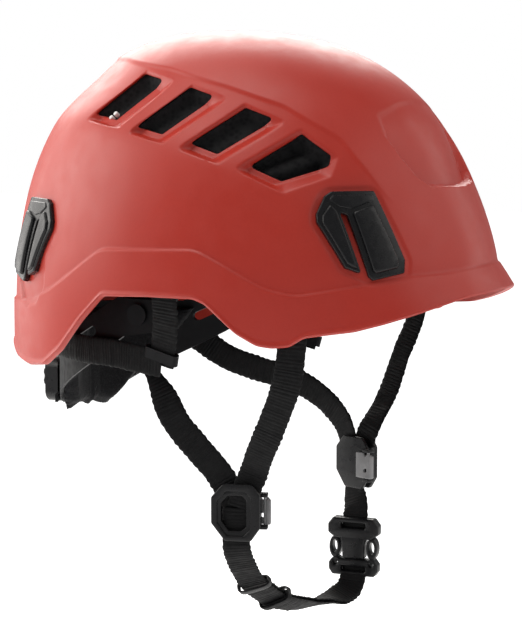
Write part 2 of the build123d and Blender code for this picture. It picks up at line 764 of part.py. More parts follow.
# ---- write every piece --------------------------------------------------------------
os.makedirs("parts", exist_ok=True)
export_step(shell.part, "parts/shell.step")
export_step(liner.part, "parts/liner.step")
export_step(crown_pad.part, "parts/crown_pad.step")
export_step(brow_pad.part, "parts/brow_pad.step")
export_step(headband.part, "parts/headband.step")
export_step(band_hangers.part, "parts/band_hangers.step")
export_step(nape_cradle.part, "parts/nape_cradle.step")
export_step(nape_pad.part, "parts/nape_pad.step")
export_step(pivot_pins.part, "parts/pivot_pins.step")
export_step(dial_housing.part, "parts/dial_housing.step")
export_step(dial_knob.part, "parts/dial_knob.step")
export_step(pinion.part, "parts/pinion.step")
export_step(rack_left.part, "parts/rack_left.step")
export_step(rack_right.part, "parts/rack_right.step")
export_step(clip_front_right.part, "parts/clip_front_right.step")
export_step(clip_front_left.part, "parts/clip_front_left.step")
export_step(clip_rear_right.part, "parts/clip_rear_right.step")
export_step(clip_rear_left.part, "parts/clip_rear_left.step")
export_step(strap_front_right.part, "parts/strap_front_right.step")
export_step(strap_front_left.part, "parts/strap_front_left.step")
export_step(strap_rear_right.part, "parts/strap_rear_right.step")
export_step(strap_rear_left.part, "parts/strap_rear_left.step")
export_step(strap_side_right.part, "parts/strap_side_right.step")
export_step(strap_side_left.part, "parts/strap_side_left.step")
export_step(strap_nape.part, "parts/strap_nape.step")
export_step(strap_lower_left.part, "parts/strap_lower_left.step")
export_step(strap_chin.part, "parts/strap_chin.step")
export_step(strap_anchors.part, "parts/strap_anchors.step")
export_step(strap_guides.part, "parts/strap_guides.step")
export_step(strap_keeper.part, "parts/strap_keeper.step")
export_step(tail_loop.part, "parts/tail_loop.step")
export_step(divider_right.part, "parts/divider_right.step")
export_step(divider_left.part, "parts/divider_left.step")
export_step(lever_right.part, "parts/lever_right.step")
export_step(lever_left.part, "parts/lever_left.step")
export_step(lever_pins.part, "parts/lever_pins.step")
export_step(buckle_socket.part, "parts/buckle_socket.step")
export_step(buckle_tongue.part, "parts/buckle_tongue.step")
export_step(press_arm_front.part, "parts/press_arm_front.step")
export_step(press_arm_rear.part, "parts/press_arm_rear.step")
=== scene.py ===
import math

import bmesh
import bpy
import numpy as np
from mathutils import Matrix, Vector


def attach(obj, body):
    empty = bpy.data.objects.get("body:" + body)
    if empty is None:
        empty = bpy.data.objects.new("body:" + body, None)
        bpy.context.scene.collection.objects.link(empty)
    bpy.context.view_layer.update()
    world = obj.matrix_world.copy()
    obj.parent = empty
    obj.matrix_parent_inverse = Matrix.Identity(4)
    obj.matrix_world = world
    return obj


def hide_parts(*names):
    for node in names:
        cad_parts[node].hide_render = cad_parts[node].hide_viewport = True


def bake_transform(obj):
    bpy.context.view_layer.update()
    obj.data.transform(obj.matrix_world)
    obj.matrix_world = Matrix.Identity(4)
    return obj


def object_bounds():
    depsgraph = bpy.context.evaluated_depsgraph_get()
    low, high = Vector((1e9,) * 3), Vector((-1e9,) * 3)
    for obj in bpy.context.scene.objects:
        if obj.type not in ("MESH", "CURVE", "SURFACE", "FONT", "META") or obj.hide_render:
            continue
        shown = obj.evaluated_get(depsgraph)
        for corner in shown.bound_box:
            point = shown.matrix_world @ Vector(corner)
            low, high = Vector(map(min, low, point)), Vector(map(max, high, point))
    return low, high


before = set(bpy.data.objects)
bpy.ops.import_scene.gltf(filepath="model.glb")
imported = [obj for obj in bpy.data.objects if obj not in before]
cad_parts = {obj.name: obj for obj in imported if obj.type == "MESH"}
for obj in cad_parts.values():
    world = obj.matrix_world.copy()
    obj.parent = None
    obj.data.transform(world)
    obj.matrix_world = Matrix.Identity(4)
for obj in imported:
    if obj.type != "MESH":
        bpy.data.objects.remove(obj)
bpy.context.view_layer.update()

MM = 0.001

# ---- dimensions in millimetres -----------------------------------------------------------
# the dome and panel step are the CAD model's, and the outlines follow its own closely
HALF, FRONT, REAR, CROWN, POWER = 112.0, 147.0, 120.0, 156.0, 2.4
PANEL_STEP = 1.2    # how far the panel above the crease is set in
STRIP_BULGE = 14.8  # sets the depth of the faceted strip that holds the vents
VENT_DEPTH = 4.4    # from the shell's face down a vent's bevel
RIB_PITCH = 1.85    # from rib to rib along the webbing
RIM = [
    (-175, 23), (-146.4, 22.8), (-143, 22), (-139.5, 20.5), (-134, 17.6), (-127, 14.2),
    (-119, 10.8), (-109, 7.4), (-96, 5.6), (-89, 4.6), (-83, 0.2), (-75, -0.6), (-68, 0.5),
    (-58, 6.5), (-49, 15), (-43, 20.5), (-37, 23), (-12, 23.2),
    (14, 22.2), (29, 8), (44, -8), (57, -17), (71, -19), (87, -17.5), (105, -12), (130, -9),
]
CREASE = [
    (-175, 37), (-147, 35.5), (-139, 33.5), (-127, 33), (-114, 30), (-99, 27), (-85, 24.5), (-71, 28),
    (-51, 39.5), (-37, 46.7), (16, 45.2), (36, 32), (52, 22.4), (72, 15), (130, 9),
]
VENTS = [
    ([(16.6, 132.6), (2.8, 129.7), (24.4, 108.9), (39.3, 111.5)],
     [(16, 136.5), (-5.6, 131.9), (17.6, 106.0), (44, 110.0)]),
    ([(-15, 126), (-29, 122), (-7, 102.6), (7.4, 105.8)],
     [(-16, 129.6), (-38, 123.2), (-12, 98.8), (11, 104)]),
    ([(-46.8, 116.2), (-61.6, 111), (-38.8, 93.4), (-24.4, 98.1)],
     [(-47.4, 120.3), (-69.5, 111.4), (-42.8, 89.4), (-20.3, 96.6)]),
    ([(-75.7, 103.6), (-90.3, 93), (-90, 87.7), (-71.3, 80.4), (-55.7, 87.4)],
     [(-77, 107.8), (-95.8, 94), (-95.2, 84.2), (-76, 75.4), (-51.5, 87)]),
]
STRIP_TOP = [(60, 142), (38, 142), (0, 137), (-36, 128.5), (-66, 119), (-94, 103), (-110, 84), (-120, 70)]
STRIP_LOW = [(60, 106), (40, 103.5), (-10, 95), (-53, 83), (-77, 72), (-90, 58), (-100, 44)]
SCOOP = [
    (-36, 114), (-40, 103), (-38, 92), (-34, 82), (-27, 77), (0, 75.5), (27, 77), (34, 82),
    (38, 92), (40, 103), (36, 114), (18, 119.5), (0, 121), (-18, 119.5),
]
LINER_RIM = [(-175, 42), (-60, 42), (-45, 36), (20, 36), (60, 30), (130, 22)]


# ---- small helpers -----------------------------------------------------------------------
def smooth(t):
    t = np.clip(t, 0.0, 1.0)
    return t * t * (3 - 2 * t)


def soft_line(points, spread=5.0):
    """A polyline height as a function of y, with its corners softened."""
    ys = np.linspace(points[0][0], points[-1][0], 800)
    zs = np.interp(ys, *zip(*points))
    half = max(int(spread / (ys[1] - ys[0])), 1)
    kernel = np.hanning(2 * half + 3)
    kernel /= kernel.sum()
    padded = np.pad(zs, half + 1, mode="edge")
    zs = np.convolve(padded, kernel, mode="valid")
    return lambda y: np.interp(y, ys, zs)


def ascending(points):
    return sorted(points, key=lambda p: p[0])


def distance(px, py, outline):
    """Signed distance from points to a closed outline, negative inside."""
    best = np.full(px.shape, 1e9)
    inside = np.zeros(px.shape, bool)
    for (ax, ay), (bx, by) in zip(outline, outline[1:] + outline[:1]):
        ex, ey = bx - ax, by - ay
        t = np.clip(((px - ax) * ex + (py - ay) * ey) / (ex * ex + ey * ey), 0, 1)
        best = np.minimum(best, np.hypot(px - ax - t * ex, py - ay - t * ey))
        crosses = (ay > py) != (by > py)
        with np.errstate(divide="ignore", invalid="ignore"):
            at = ax + (py - ay) * ex / (ey if ey else 1e-9)
        inside ^= crosses & (px < at)
    return np.where(inside, -best, best)


def rounded(outline, radius, steps=5):
    """The outline with each corner turned on an arc."""
    result = []
    count = len(outline)
    for i, p in enumerate(outline):
        a, b, c = Vector(outline[i - 1]), Vector(p), Vector(outline[(i + 1) % count])
        u, v = a - b, c - b
        half = u.angle(v) / 2
        reach = min(radius / math.tan(half), u.length * 0.48, v.length * 0.48)
        start, end = b + u.normalized() * reach, b + v.normalized() * reach
        for k in range(steps + 1):
            t = k / steps
            result.append(tuple(start * (1 - t) ** 2 + b * 2 * t * (1 - t) + end * t * t))
    return result


def new_mesh(name, verts, faces, material, sharp=40.0):
    mesh = bpy.data.meshes.new(name)
    mesh.from_pydata([tuple(v) for v in verts], [], [tuple(f) for f in faces])
    mesh.validate()
    return as_object(name, mesh, material, sharp)


def as_object(name, mesh, material, sharp=40.0):
    mesh.polygons.foreach_set("use_smooth", [True] * len(mesh.polygons))
    if sharp:
        mesh.set_sharp_from_angle(angle=math.radians(sharp))
    mesh.materials.clear()
    mesh.materials.append(material)
    obj = bpy.data.objects.new(name, mesh)
    bpy.context.scene.collection.objects.link(obj)
    return obj


def turn_out(mesh, merge=False):
    """Makes a closed mesh's faces point outward, after joining doubled corners if asked."""
    work = bmesh.new()
    work.from_mesh(mesh)
    if merge:
        bmesh.ops.remove_doubles(work, verts=work.verts, dist=0.00001)
    bmesh.ops.recalc_face_normals(work, faces=work.faces)
    work.to_mesh(mesh)
    work.free()


def baked(obj):
    """Applies an object's modifiers to its mesh."""
    graph = bpy.context.evaluated_depsgraph_get()
    mesh = bpy.data.meshes.new_from_object(obj.evaluated_get(graph))
    old = obj.data
    obj.modifiers.clear()
    obj.data = mesh
    bpy.data.meshes.remove(old)
    return obj


def cut(obj, cutter, operation="DIFFERENCE"):
    bpy.context.view_layer.update()
    modifier = obj.modifiers.new("cut", "BOOLEAN")
    modifier.operation = operation
    modifier.solver = "MANIFOLD"
    modifier.object = cutter
    baked(obj)
    bpy.data.objects.remove(cutter)


class Seat:
    """A local frame: origin, x across, y up, z outward, in millimetres."""

    def __init__(self, origin, normal):
        self.z = Vector(normal).normalized()
        self.x = Vector((-normal[1], normal[0], 0)).normalized()
        self.y = self.z.cross(self.x)
        self.o = Vector(origin)

    def at(self, x, y, z=0.0):
        return self.o + self.x * x + self.y * y + self.z * z

    def matrix(self):
        m = Matrix((self.x, self.y, self.z)).transposed().to_4x4()
        return Matrix.Translation(self.o) @ m


# ---- materials ---------------------------------------------------------------------------
class Shader:
    """A Principled material put together from object-space textures."""

    def __init__(self, name, colour, rough, **sockets):
        self.material = bpy.data.materials.new(name)
        self.material.use_nodes = True
        self.tree = self.material.node_tree
        self.surface = self.tree.nodes["Principled BSDF"]
        self.colour = tuple(colour) + (1.0,)
        self.surface.inputs["Base Color"].default_value = self.colour
        self.surface.inputs["Roughness"].default_value = rough
        for socket, value in sockets.items():
            self.surface.inputs[socket.replace("_", " ")].default_value = value
        self.place = self.node("ShaderNodeTexCoord").outputs["Object"]
        self.last_bump = None

    def node(self, kind, **settings):
        made = self.tree.nodes.new(kind)
        for key, value in settings.items():
            setattr(made, key, value)
        return made

    def link(self, a, b):
        self.tree.links.new(a, b)

    def noise(self, size, detail=2.0, stretch=(1, 1, 1)):
        """Noise whose features are about `size` millimetres wide."""
        mapping = self.node("ShaderNodeMapping")
        mapping.inputs["Scale"].default_value = [s / (size * MM) for s in stretch]
        self.link(self.place, mapping.inputs["Vector"])
        made = self.node("ShaderNodeTexNoise")
        made.inputs["Scale"].default_value = 1.0
        made.inputs["Detail"].default_value = detail
        self.link(mapping.outputs["Vector"], made.inputs["Vector"])
        return made.outputs["Fac"]

    def cells(self, size, feature="F1"):
        made = self.node("ShaderNodeTexVoronoi", feature=feature)
        made.inputs["Scale"].default_value = 1 / (size * MM)
        self.link(self.place, made.inputs["Vector"])
        return made.outputs["Distance"]

    def ramp(self, value, low, high, start=0.3, stop=0.7):
        made = self.node("ShaderNodeMapRange")
        made.inputs["From Min"].default_value = start
        made.inputs["From Max"].default_value = stop
        made.inputs["To Min"].default_value = low
        made.inputs["To Max"].default_value = high
        self.link(value, made.inputs["Value"])
        return made.outputs["Result"]

    def tint(self, value, other, start=0.35, stop=0.75, amount=1.0):
        """Mixes the base colour towards another one where value is high."""
        mix = self.node("ShaderNodeMix", data_type="RGBA")
        self.link(self.ramp(value, 0.0, amount, start, stop), mix.inputs["Factor"])
        source = self.surface.inputs["Base Color"]
        if source.is_linked:
            self.link(source.links[0].from_socket, mix.inputs["A"])
        else:
            mix.inputs["A"].default_value = self.colour
        mix.inputs["B"].default_value = tuple(other) + (1.0,)
        self.link(mix.outputs["Result"], source)

    def vary_rough(self, value, low, high):
        self.link(self.ramp(value, low, high), self.surface.inputs["Roughness"])

    def bump(self, value, height):
        """Relief of about `height` millimetres."""
        made = self.node("ShaderNodeBump")
        made.inputs["Strength"].default_value = 1.0
        made.inputs["Distance"].default_value = height * MM
        self.link(value, made.inputs["Height"])
        if self.last_bump:
            self.link(self.last_bump.outputs["Normal"], made.inputs["Normal"])
        self.last_bump = made
        self.link(made.outputs["Normal"], self.surface.inputs["Normal"])

    def edges(self, other, amount):
        """Lighter rubbed edges, from how pointed the mesh is."""
        point = self.node("ShaderNodeNewGeometry").outputs["Pointiness"]
        self.tint(point, other, 0.52, 0.6, amount)


def shell_paint():
    paint = Shader("shell_red", (0.43, 0.024, 0.012), 0.40, Specular_IOR_Level=0.5)
    paint.tint(paint.noise(38, 3), (0.47, 0.030, 0.016), 0.3, 0.8, 0.6)
    paint.tint(paint.noise(1.3, 4), (0.38, 0.019, 0.010), 0.45, 0.8, 0.35)
    paint.vary_rough(paint.noise(9, 4), 0.37, 0.47)
    paint.bump(paint.noise(0.42, 3), 0.012)
    paint.bump(paint.noise(14, 2), 0.03)
    return paint.material


def moulded(name, colour, rough, grain=0.5, depth=0.02, worn=0.25, specular=0.3):
    plastic = Shader(name, colour, rough, Specular_IOR_Level=specular)
    light = tuple(min(c * 2.2 + 0.006, 1.0) for c in colour)
    plastic.tint(plastic.noise(6, 4), tuple(c * 1.45 for c in colour), 0.4, 0.8, 0.7)
    plastic.edges(light, worn)
    plastic.vary_rough(plastic.noise(4, 3), rough - 0.07, rough + 0.09)
    plastic.bump(plastic.noise(grain, 3), depth)
    return plastic.material


def foam():
    beads = Shader("liner_foam", (0.008, 0.008, 0.009), 0.78, Specular_IOR_Level=0.14)
    beads.tint(beads.cells(2.6), (0.016, 0.016, 0.017), 0.2, 0.6, 0.8)
    beads.vary_rough(beads.noise(7, 3), 0.68, 0.85)
    beads.bump(beads.cells(2.6, "SMOOTH_F1"), 0.12)
    beads.bump(beads.noise(0.5, 2), 0.03)
    return beads.material


def knit(name, colour, rough=0.88, thread=0.9, depth=0.12):
    cloth = Shader(name, colour, rough, Specular_IOR_Level=0.12, Sheen_Weight=0.07,
                   Sheen_Roughness=0.4)
    cloth.tint(cloth.noise(thread, 2), tuple(c * 2.4 + 0.006 for c in colour), 0.45, 0.75, 0.8)
    cloth.tint(cloth.noise(11, 3), tuple(c * 0.6 for c in colour), 0.4, 0.8, 0.5)
    cloth.vary_rough(cloth.noise(5, 3), rough - 0.08, rough + 0.08)
    cloth.bump(cloth.cells(thread, "SMOOTH_F1"), depth)
    cloth.bump(cloth.noise(0.35, 2), depth * 0.4)
    return cloth.material


def woven():
    tape = Shader("webbing", (0.004, 0.004, 0.0045), 0.6, Specular_IOR_Level=0.15,
                  Sheen_Weight=0.02, Sheen_Roughness=0.45)
    tape.tint(tape.noise(0.55, 2), (0.015, 0.015, 0.016), 0.45, 0.8, 0.8)
    tape.tint(tape.noise(9, 3), (0.011, 0.011, 0.0115), 0.4, 0.8, 0.6)
    tape.vary_rough(tape.noise(3, 3), 0.55, 0.72)
    tape.bump(tape.noise(0.32, 2), 0.07)
    return tape.material


def metal():
    steel = Shader("steel", (0.42, 0.42, 0.43), 0.34, Metallic=1.0)
    steel.tint(steel.noise(2, 4), (0.3, 0.3, 0.31), 0.4, 0.8, 0.6)
    steel.vary_rough(steel.noise(1.2, 3, (1, 1, 6)), 0.28, 0.45)
    steel.bump(steel.noise(0.3, 2, (1, 1, 8)), 0.01)
    return steel.material


RED = shell_paint()
BLACK = moulded("black_plastic", (0.007, 0.007, 0.008), 0.3, worn=0.12)
BAND = moulded("band_plastic", (0.007, 0.007, 0.008), 0.5, 0.8, 0.03, 0.15, 0.13)
GLOSS = moulded("clip_plastic", (0.005, 0.005, 0.006), 0.26, worn=0.05, specular=0.36)
GREY = moulded("grey_plastic", (0.20, 0.20, 0.205), 0.4, 0.4, 0.02, 0.5)
PALE = moulded("pale_plastic", (0.75, 0.75, 0.74), 0.5, 0.5, 0.01, 0.1)
FOAM = foam()
PAD = knit("pad_fabric", (0.007, 0.007, 0.008))
TAPE = woven()
STEEL = metal()


# ---- outer shell and liner ---------------------------------------------------------------
rim_at = soft_line(RIM, 3)
crease_at = soft_line(CREASE, 7)
strip_top = soft_line([(-175, 60)] + ascending(STRIP_TOP) + [(130, 142)], 5)
strip_low = soft_line([(-175, 36)] + ascending(STRIP_LOW) + [(130, 106)], 8)
liner_rim = soft_line(LINER_RIM, 5)


def dome_columns(count):
    """Fine profiles of the dome from the crown down, one per column: x, y, z arrays."""
    turn = np.arange(count) * 2 * math.pi / count
    t = np.linspace(math.pi / 2, 0, 800)
    shrink = np.append(np.cos(t) ** (2 / POWER), np.ones(50))
    height = np.append(CROWN * np.sin(t) ** (2 / POWER), np.linspace(-0.8, -40, 50))
    reach = np.where(np.sin(turn) > 0, REAR, FRONT)
    x = HALF * np.cos(turn)[:, None] * shrink
    y = (reach * np.sin(turn))[:, None] * shrink
    return x, y, np.repeat(height[None, :], count, axis=0)


def outward(p):
    """The dome's outward direction at points on it."""
    reach = np.where(p[..., 1] > 0, REAR, FRONT)
    ring = np.sqrt((p[..., 0] / HALF) ** 2 + (p[..., 1] / reach) ** 2)
    level = np.maximum(ring, 1e-6) ** (POWER - 2)
    n = np.stack([
        level * p[..., 0] / HALF ** 2,
        level * p[..., 1] / reach ** 2,
        np.maximum(p[..., 2] / CROWN, 0) ** (POWER - 1) / CROWN,
    ], axis=-1)
    return n / np.linalg.norm(n, axis=-1, keepdims=True)


def dome_grid(count, parts):
    """Dome points in columns, with a row of points exactly on each part's lower line.

    parts is a list of (lower line, rows); the answer is points, and each point's distance
    down the surface to every lower line.
    """
    x, y, z = dome_columns(count)
    step = np.sqrt(np.diff(x) ** 2 + np.diff(y) ** 2 + np.diff(z) ** 2)
    along = np.concatenate([np.zeros((count, 1)), np.cumsum(step, axis=1)], axis=1)
    ends = []
    for line, _ in parts:
        over = z - line(y)
        first = np.argmax(over <= 0, axis=1)
        i = np.arange(count)
        a, b = over[i, first - 1], over[i, first]
        ends.append(along[i, first - 1] + a / (a - b) * (along[i, first] - along[i, first - 1]))
    rows = []
    start = np.zeros(count)
    for end, (_, number) in zip(ends, parts):
        fraction = (np.arange(number) + (1 if not rows else 0)) / number
        rows.append(start[:, None] + (end - start)[:, None] * fraction)
        start = end
    rows.append(start[:, None])
    where = np.concatenate(rows, axis=1)
    if len(parts) == 1:
        where = where[:, :-1]
    points = np.stack([
        [np.interp(where[i], along[i], axis[i]) for i in range(count)] for axis in (x, y, z)
    ], axis=-1)
    return points, [end[:, None] - where for end in ends]


def closed_skin(name, outer, inner, material):
    """A solid between two grids that share their columns; the crown is one point on each."""
    count, rows_out, rows_in = outer.shape[0], outer.shape[1], inner.shape[1]
    crown_out = [0, 0, outer[:, 0, 2].mean() + 0.01]
    crown_in = [0, 0, inner[:, 0, 2].mean() + 0.01]
    verts = np.concatenate([outer.reshape(-1, 3), inner.reshape(-1, 3), [crown_out, crown_in]])
    base = count * rows_out
    top, under = len(verts) - 2, len(verts) - 1
    faces = []
    for i in range(count):
        j = (i + 1) % count
        faces.append((top, i * rows_out, j * rows_out))
        faces.append((under, base + j * rows_in, base + i * rows_in))
        for r in range(rows_out - 1):
            a, b = i * rows_out + r, j * rows_out + r
            faces.append((a, a + 1, b + 1, b))
        for r in range(rows_in - 1):
            a, b = base + i * rows_in + r, base + j * rows_in + r
            faces.append((a, b, b + 1, a + 1))
        a, b = i * rows_out + rows_out - 1, j * rows_out + rows_out - 1
        c, d = base + j * rows_in + rows_in - 1, base + i * rows_in + rows_in - 1
        faces.append((a, d, c, b))
    return new_mesh(name, verts * MM, faces, material, 50)


def prism(name, outline, near, far):
    """A (y, z) outline carried along X from near to far, in millimetres."""
    count = len(outline)
    verts = [(near * MM, y * MM, z * MM) for y, z in outline]
    verts += [(far * MM, y * MM, z * MM) for y, z in outline]
    faces = [tuple(range(count)), tuple(reversed(range(count, 2 * count)))]
    faces += [(i, i + count, (i + 1) % count + count, (i + 1) % count) for i in range(count)]
    obj = new_mesh(name, verts, faces, BLACK, None)
    turn_out(obj.data)
    return obj


CLIP_SEATS = [
    ("clip_front_right", Seat((-69, -108, 55), (-0.74, -0.67, 0.25)), 1),
    ("clip_front_left", Seat((69, -108, 55), (0.74, -0.67, 0.25)), -1),
    ("clip_rear_right", Seat((-86.3, 69.5, 47), (-0.833, 0.552, 0.2)), -1),
    ("clip_rear_left", Seat((86.3, 69.5, 47), (0.833, 0.552, 0.2)), 1),
]
CLIP = [
    (-12, 21.5), (10, 21.5), (24.5, -13), (24, -19.5), (7, -23), (1, -20), (-7, -16.5),
    (-20, 6.5), (-20, 10.5), (-15.3, 19.4),
]


def seat_view(points, seat):
    """Points in a seat's own coordinates."""
    rel = points - np.array(seat.o)
    return rel @ np.array(seat.x), rel @ np.array(seat.y), rel @ np.array(seat.z)


def shell_relief(p, below_crease, to_rim):
    """How far the shell's face stands off the plain dome, in millimetres."""
    x, y, z = p[..., 0], p[..., 1], p[..., 2]
    off = -PANEL_STEP * smooth(below_crease / PANEL_STEP)
    top, low = strip_top(y), strip_low(y)
    down = np.clip((top - z) / np.maximum(top - low, 1), 0, 1)
    bulge = STRIP_BULGE * down * (1 - down) ** 2
    fore = smooth((y + 128) / 40)
    off -= (0.6 * smooth((top - z) / 1.6) * (1 - down) + bulge) * fore
    for inner, outer in VENTS:
        outside = distance(y, z, rounded(inner, 1.6))
        inside = -distance(y, z, rounded(outer, 1.8))
        slope = np.clip(inside / np.maximum(inside + np.maximum(outside, 0), 1e-6), 0, 1)
        off -= VENT_DEPTH * slope * (np.abs(x) > 35)
    in_scoop = -distance(x, z, rounded(SCOOP, 6)) * (y < -50) - 99 * (y >= -50)
    off -= (0.6 + 4.4 * smooth((118 - z) / 38)) * smooth(in_scoop / 2.7)
    for name, seat, flip in CLIP_SEATS:
        a, b, c = seat_view(p, seat)
        if "front" in name:
            away = distance(flip * a, b, rounded(CLIP, 3))
            off -= 0.5 * smooth((3.4 - away) / 1.4) * (np.abs(c) < 25)
        else:
            pocket = [(-15, 8), (-15, -24), (-9, -33), (3, -36), (15, -33), (22, -24), (26, 8)]
            away = distance(flip * a, b, rounded(pocket, 6))
            fade = smooth((-4 - b) / 26)
            off -= 1.5 * fade * smooth(-away / 1.6) * (np.abs(c) < 25)
    brow = smooth((-y - 68) / 62)
    front = smooth((-y - 100) / 45)
    rim, crease = rim_at(y), crease_at(y)
    off += 4.0 * front * smooth((88 - z) / 60)
    lip = np.clip((crease - z) / np.maximum(crease - rim, 2), 0, 1)
    off += (2.5 * brow + 4.5 * front) * lip
    off += 0.7 * smooth((3.0 - to_rim) / 2.0) * (1 - front)
    return off - 1.1 * np.clip((1.1 - to_rim) / 1.1, 0, 1)


def make_shell():
    count, rows = ((860, 230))
    outer, (to_crease, to_rim) = dome_grid(count, [(crease_at, rows), (rim_at, 34)])
    face = outer + outward(outer) * shell_relief(outer, to_crease, to_rim)[..., None]
    inner, (to_crease, to_rim) = dome_grid(count, [(crease_at, 110), (rim_at, 12)])
    sunk = shell_relief(inner, to_crease, np.full_like(to_rim, 9.0))
    back = inner + outward(inner) * np.minimum(sunk - 1.5, sunk * 0.9 - 3.0)[..., None]
    skin = closed_skin("helmet_shell", face, back, RED)
    for outline, _ in VENTS:
        for near in (-140, 40):
            cut(skin, prism("cutter", rounded(outline, 1.6), near, near + 100))
    return skin


def liner_relief(p):
    """The liner's outer face: clear of the shell, with a deeper faceted bay at each vent."""
    x, y, z = p[..., 0], p[..., 1], p[..., 2]
    far = np.full_like(x, 30.0)
    sunk = shell_relief(p, -far, far)
    off = np.minimum(sunk * 0.9 - 3.5, -4.75)
    for inner, _ in VENTS[:3]:
        inside = -distance(y, z, rounded(inner, 3)) + 3.5
        off -= 1.6 * smooth(inside / 4.0) * (np.abs(x) > 30)
    inside = -distance(y, z, VENTS[3][0])
    bay = smooth((inside + 3) / 4.0) * (np.abs(x) > 30)
    ridge = np.abs((y + 76) * 0.45 + (z - 92) * 0.9)
    return off - bay * (5.5 - 4.5 * smooth((7 - ridge) / 6))


def make_liner():
    count = 420
    outer, (to_rim,) = dome_grid(count, [(liner_rim, 110)])
    face = outer + outward(outer) * (liner_relief(outer) - 1.0 * np.clip((2 - to_rim) / 2, 0, 1))[..., None]
    inner, (to_rim,) = dome_grid(count, [(liner_rim, 80)])
    x, y = inner[..., 0], inner[..., 1]
    groove = smooth((6 - np.abs((np.abs(x) - 26) % 52 - 26 + 20)) / 3) * smooth((to_rim - 14) / 8)
    depth = -18.4 + 2.6 * groove + 1.5 * np.clip((2.5 - to_rim) / 2.5, 0, 1)
    back = inner + outward(inner) * depth[..., None]
    return closed_skin("helmet_liner", face, back, FOAM)


shell = make_shell()
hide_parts("shell")
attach(shell, "helmet")
liner = make_liner()
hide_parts("liner")
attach(liner, "helmet")


# ---- webbing -----------------------------------------------------------------------------
DIVIDER_RIGHT = Seat((-70, -41, -90), (-0.94, -0.34, 0))
DIVIDER_LEFT = Seat((70, -42, -87), (0.94, -0.34, 0))
BUCKLE = Seat((62, -45, -134), (-0.995, -0.1, 0))
OUT_RIGHT = (-0.94, -0.34, 0)
OUT_LEFT = (0.94, -0.34, 0)

FRONT_RIGHT = [
    ((-85.2, -80.4, 14), (-0.886, -0.465, 0)),
    ((-85.2, -80.4, 0), (-0.886, -0.465, 0)),
    ((-84.3, -77.4, -18), (-0.886, -0.465, 0)),
    ((-80, -67, -41), (-0.9, -0.43, 0.1)),
    ((-74, -56, -60), (-0.92, -0.38, 0.1)),
    (DIVIDER_RIGHT.at(8.5, 19, 1), OUT_RIGHT),
    (DIVIDER_RIGHT.at(5, 11, 1), OUT_RIGHT),
    (DIVIDER_RIGHT.at(2.5, 2, 1), OUT_RIGHT),
]
REAR_RIGHT = [
    ((-81.2, 5, -15), (-0.40, -0.85, 0.3)),
    ((-79.5, -3, -30), (-0.75, -0.65, 0.1)),
    ((-78, -9, -43), (-0.92, -0.38, 0)),
    ((-75, -21, -58), OUT_RIGHT),
    (DIVIDER_RIGHT.at(-9, 19, -1), OUT_RIGHT),
    (DIVIDER_RIGHT.at(-4.5, 12, -1), OUT_RIGHT),
    (DIVIDER_RIGHT.at(0, 4, -1), OUT_RIGHT),
]
SIDE_RIGHT = [
    ((-92, -11, 31), (-1, 0, 0)),
    ((-91, -11, 22), (-1, 0, 0)),
    ((-87, -9, 4), (-1, 0, -0.2)),
    ((-82.5, -4, -15), (-0.97, 0, -0.2)),
]
FRONT_LEFT = [
    ((89, -73, 14), (0.886, -0.465, 0)),
    ((88, -71, -1), (0.886, -0.465, 0)),
    ((82, -63, -28), (0.9, -0.43, 0.1)),
    ((77, -57, -50), (0.92, -0.38, 0.1)),
    (DIVIDER_LEFT.at(-8.5, 19, 1), OUT_LEFT),
    (DIVIDER_LEFT.at(-5, 11, 1), OUT_LEFT),
    (DIVIDER_LEFT.at(-2.5, 2, 1), OUT_LEFT),
]
REAR_LEFT = [
    ((68.5, 62, -21), (0.75, 0.66, 0)),
    ((74.5, 42, -34), (0.85, 0.5, 0)),
    ((77, 26, -39), (0.95, 0.25, 0)),
    ((78.5, 0, -45), (1, 0, 0)),
    ((76, -20, -55), (0.97, -0.2, 0)),
    (DIVIDER_LEFT.at(8.5, 19, -1), OUT_LEFT),
    (DIVIDER_LEFT.at(5, 11, -1), OUT_LEFT),
    (DIVIDER_LEFT.at(2.5, 2, -1), OUT_LEFT),
]
SIDE_LEFT = [((-p[0], p[1], p[2]), (-n[0], n[1], n[2])) for p, n in SIDE_RIGHT[:3]]
SIDE_LEFT.append(((81, -3, -25), (0.97, 0, -0.2)))
LOWER_LEFT = [
    (DIVIDER_LEFT.at(0, 2), OUT_LEFT),
    (DIVIDER_LEFT.at(0, -8), OUT_LEFT),
    (DIVIDER_LEFT.at(0, -17, -1), (0.82, -0.22, -0.35)),
    (BUCKLE.at(0, 21, -2), (0.88, 0.0, -0.35)),
    (BUCKLE.at(0, 13.5), (0.995, 0.1, 0)),
    (BUCKLE.at(0, 9.4), (0.995, 0.1, 0)),
]
CHIN = [
    (DIVIDER_RIGHT.at(0, 2), OUT_RIGHT),
    (DIVIDER_RIGHT.at(0, -8), OUT_RIGHT),
    (DIVIDER_RIGHT.at(0, -18), (-0.9, -0.33, -0.2)),
    ((-61, -39.5, -120), (-0.80, -0.36, -0.48)),
    ((-45, -38, -134), (-0.70, -0.38, -0.60)),
    ((-23, -39, -147), (-0.58, -0.42, -0.70)),
    ((0, -41, -155), (-0.45, -0.45, -0.77)),
    ((24, -43, -159), (0.05, -0.20, -0.95)),
    ((43, -44.5, -159.3), (0.50, 0.30, -0.80)),
    ((56, -45.2, -156), (0.82, 0.30, -0.48)),
    (BUCKLE.at(0, -14.6), (0.995, 0.1, 0)),
    (BUCKLE.at(0, -10.2), (0.995, 0.1, 0)),
]
CHIN_TAIL = []
for place, face in CHIN[4:11]:
    inward = Vector(face).normalized() * 2.0
    CHIN_TAIL.append((tuple(Vector(place) - inward), face))
NAPE = []
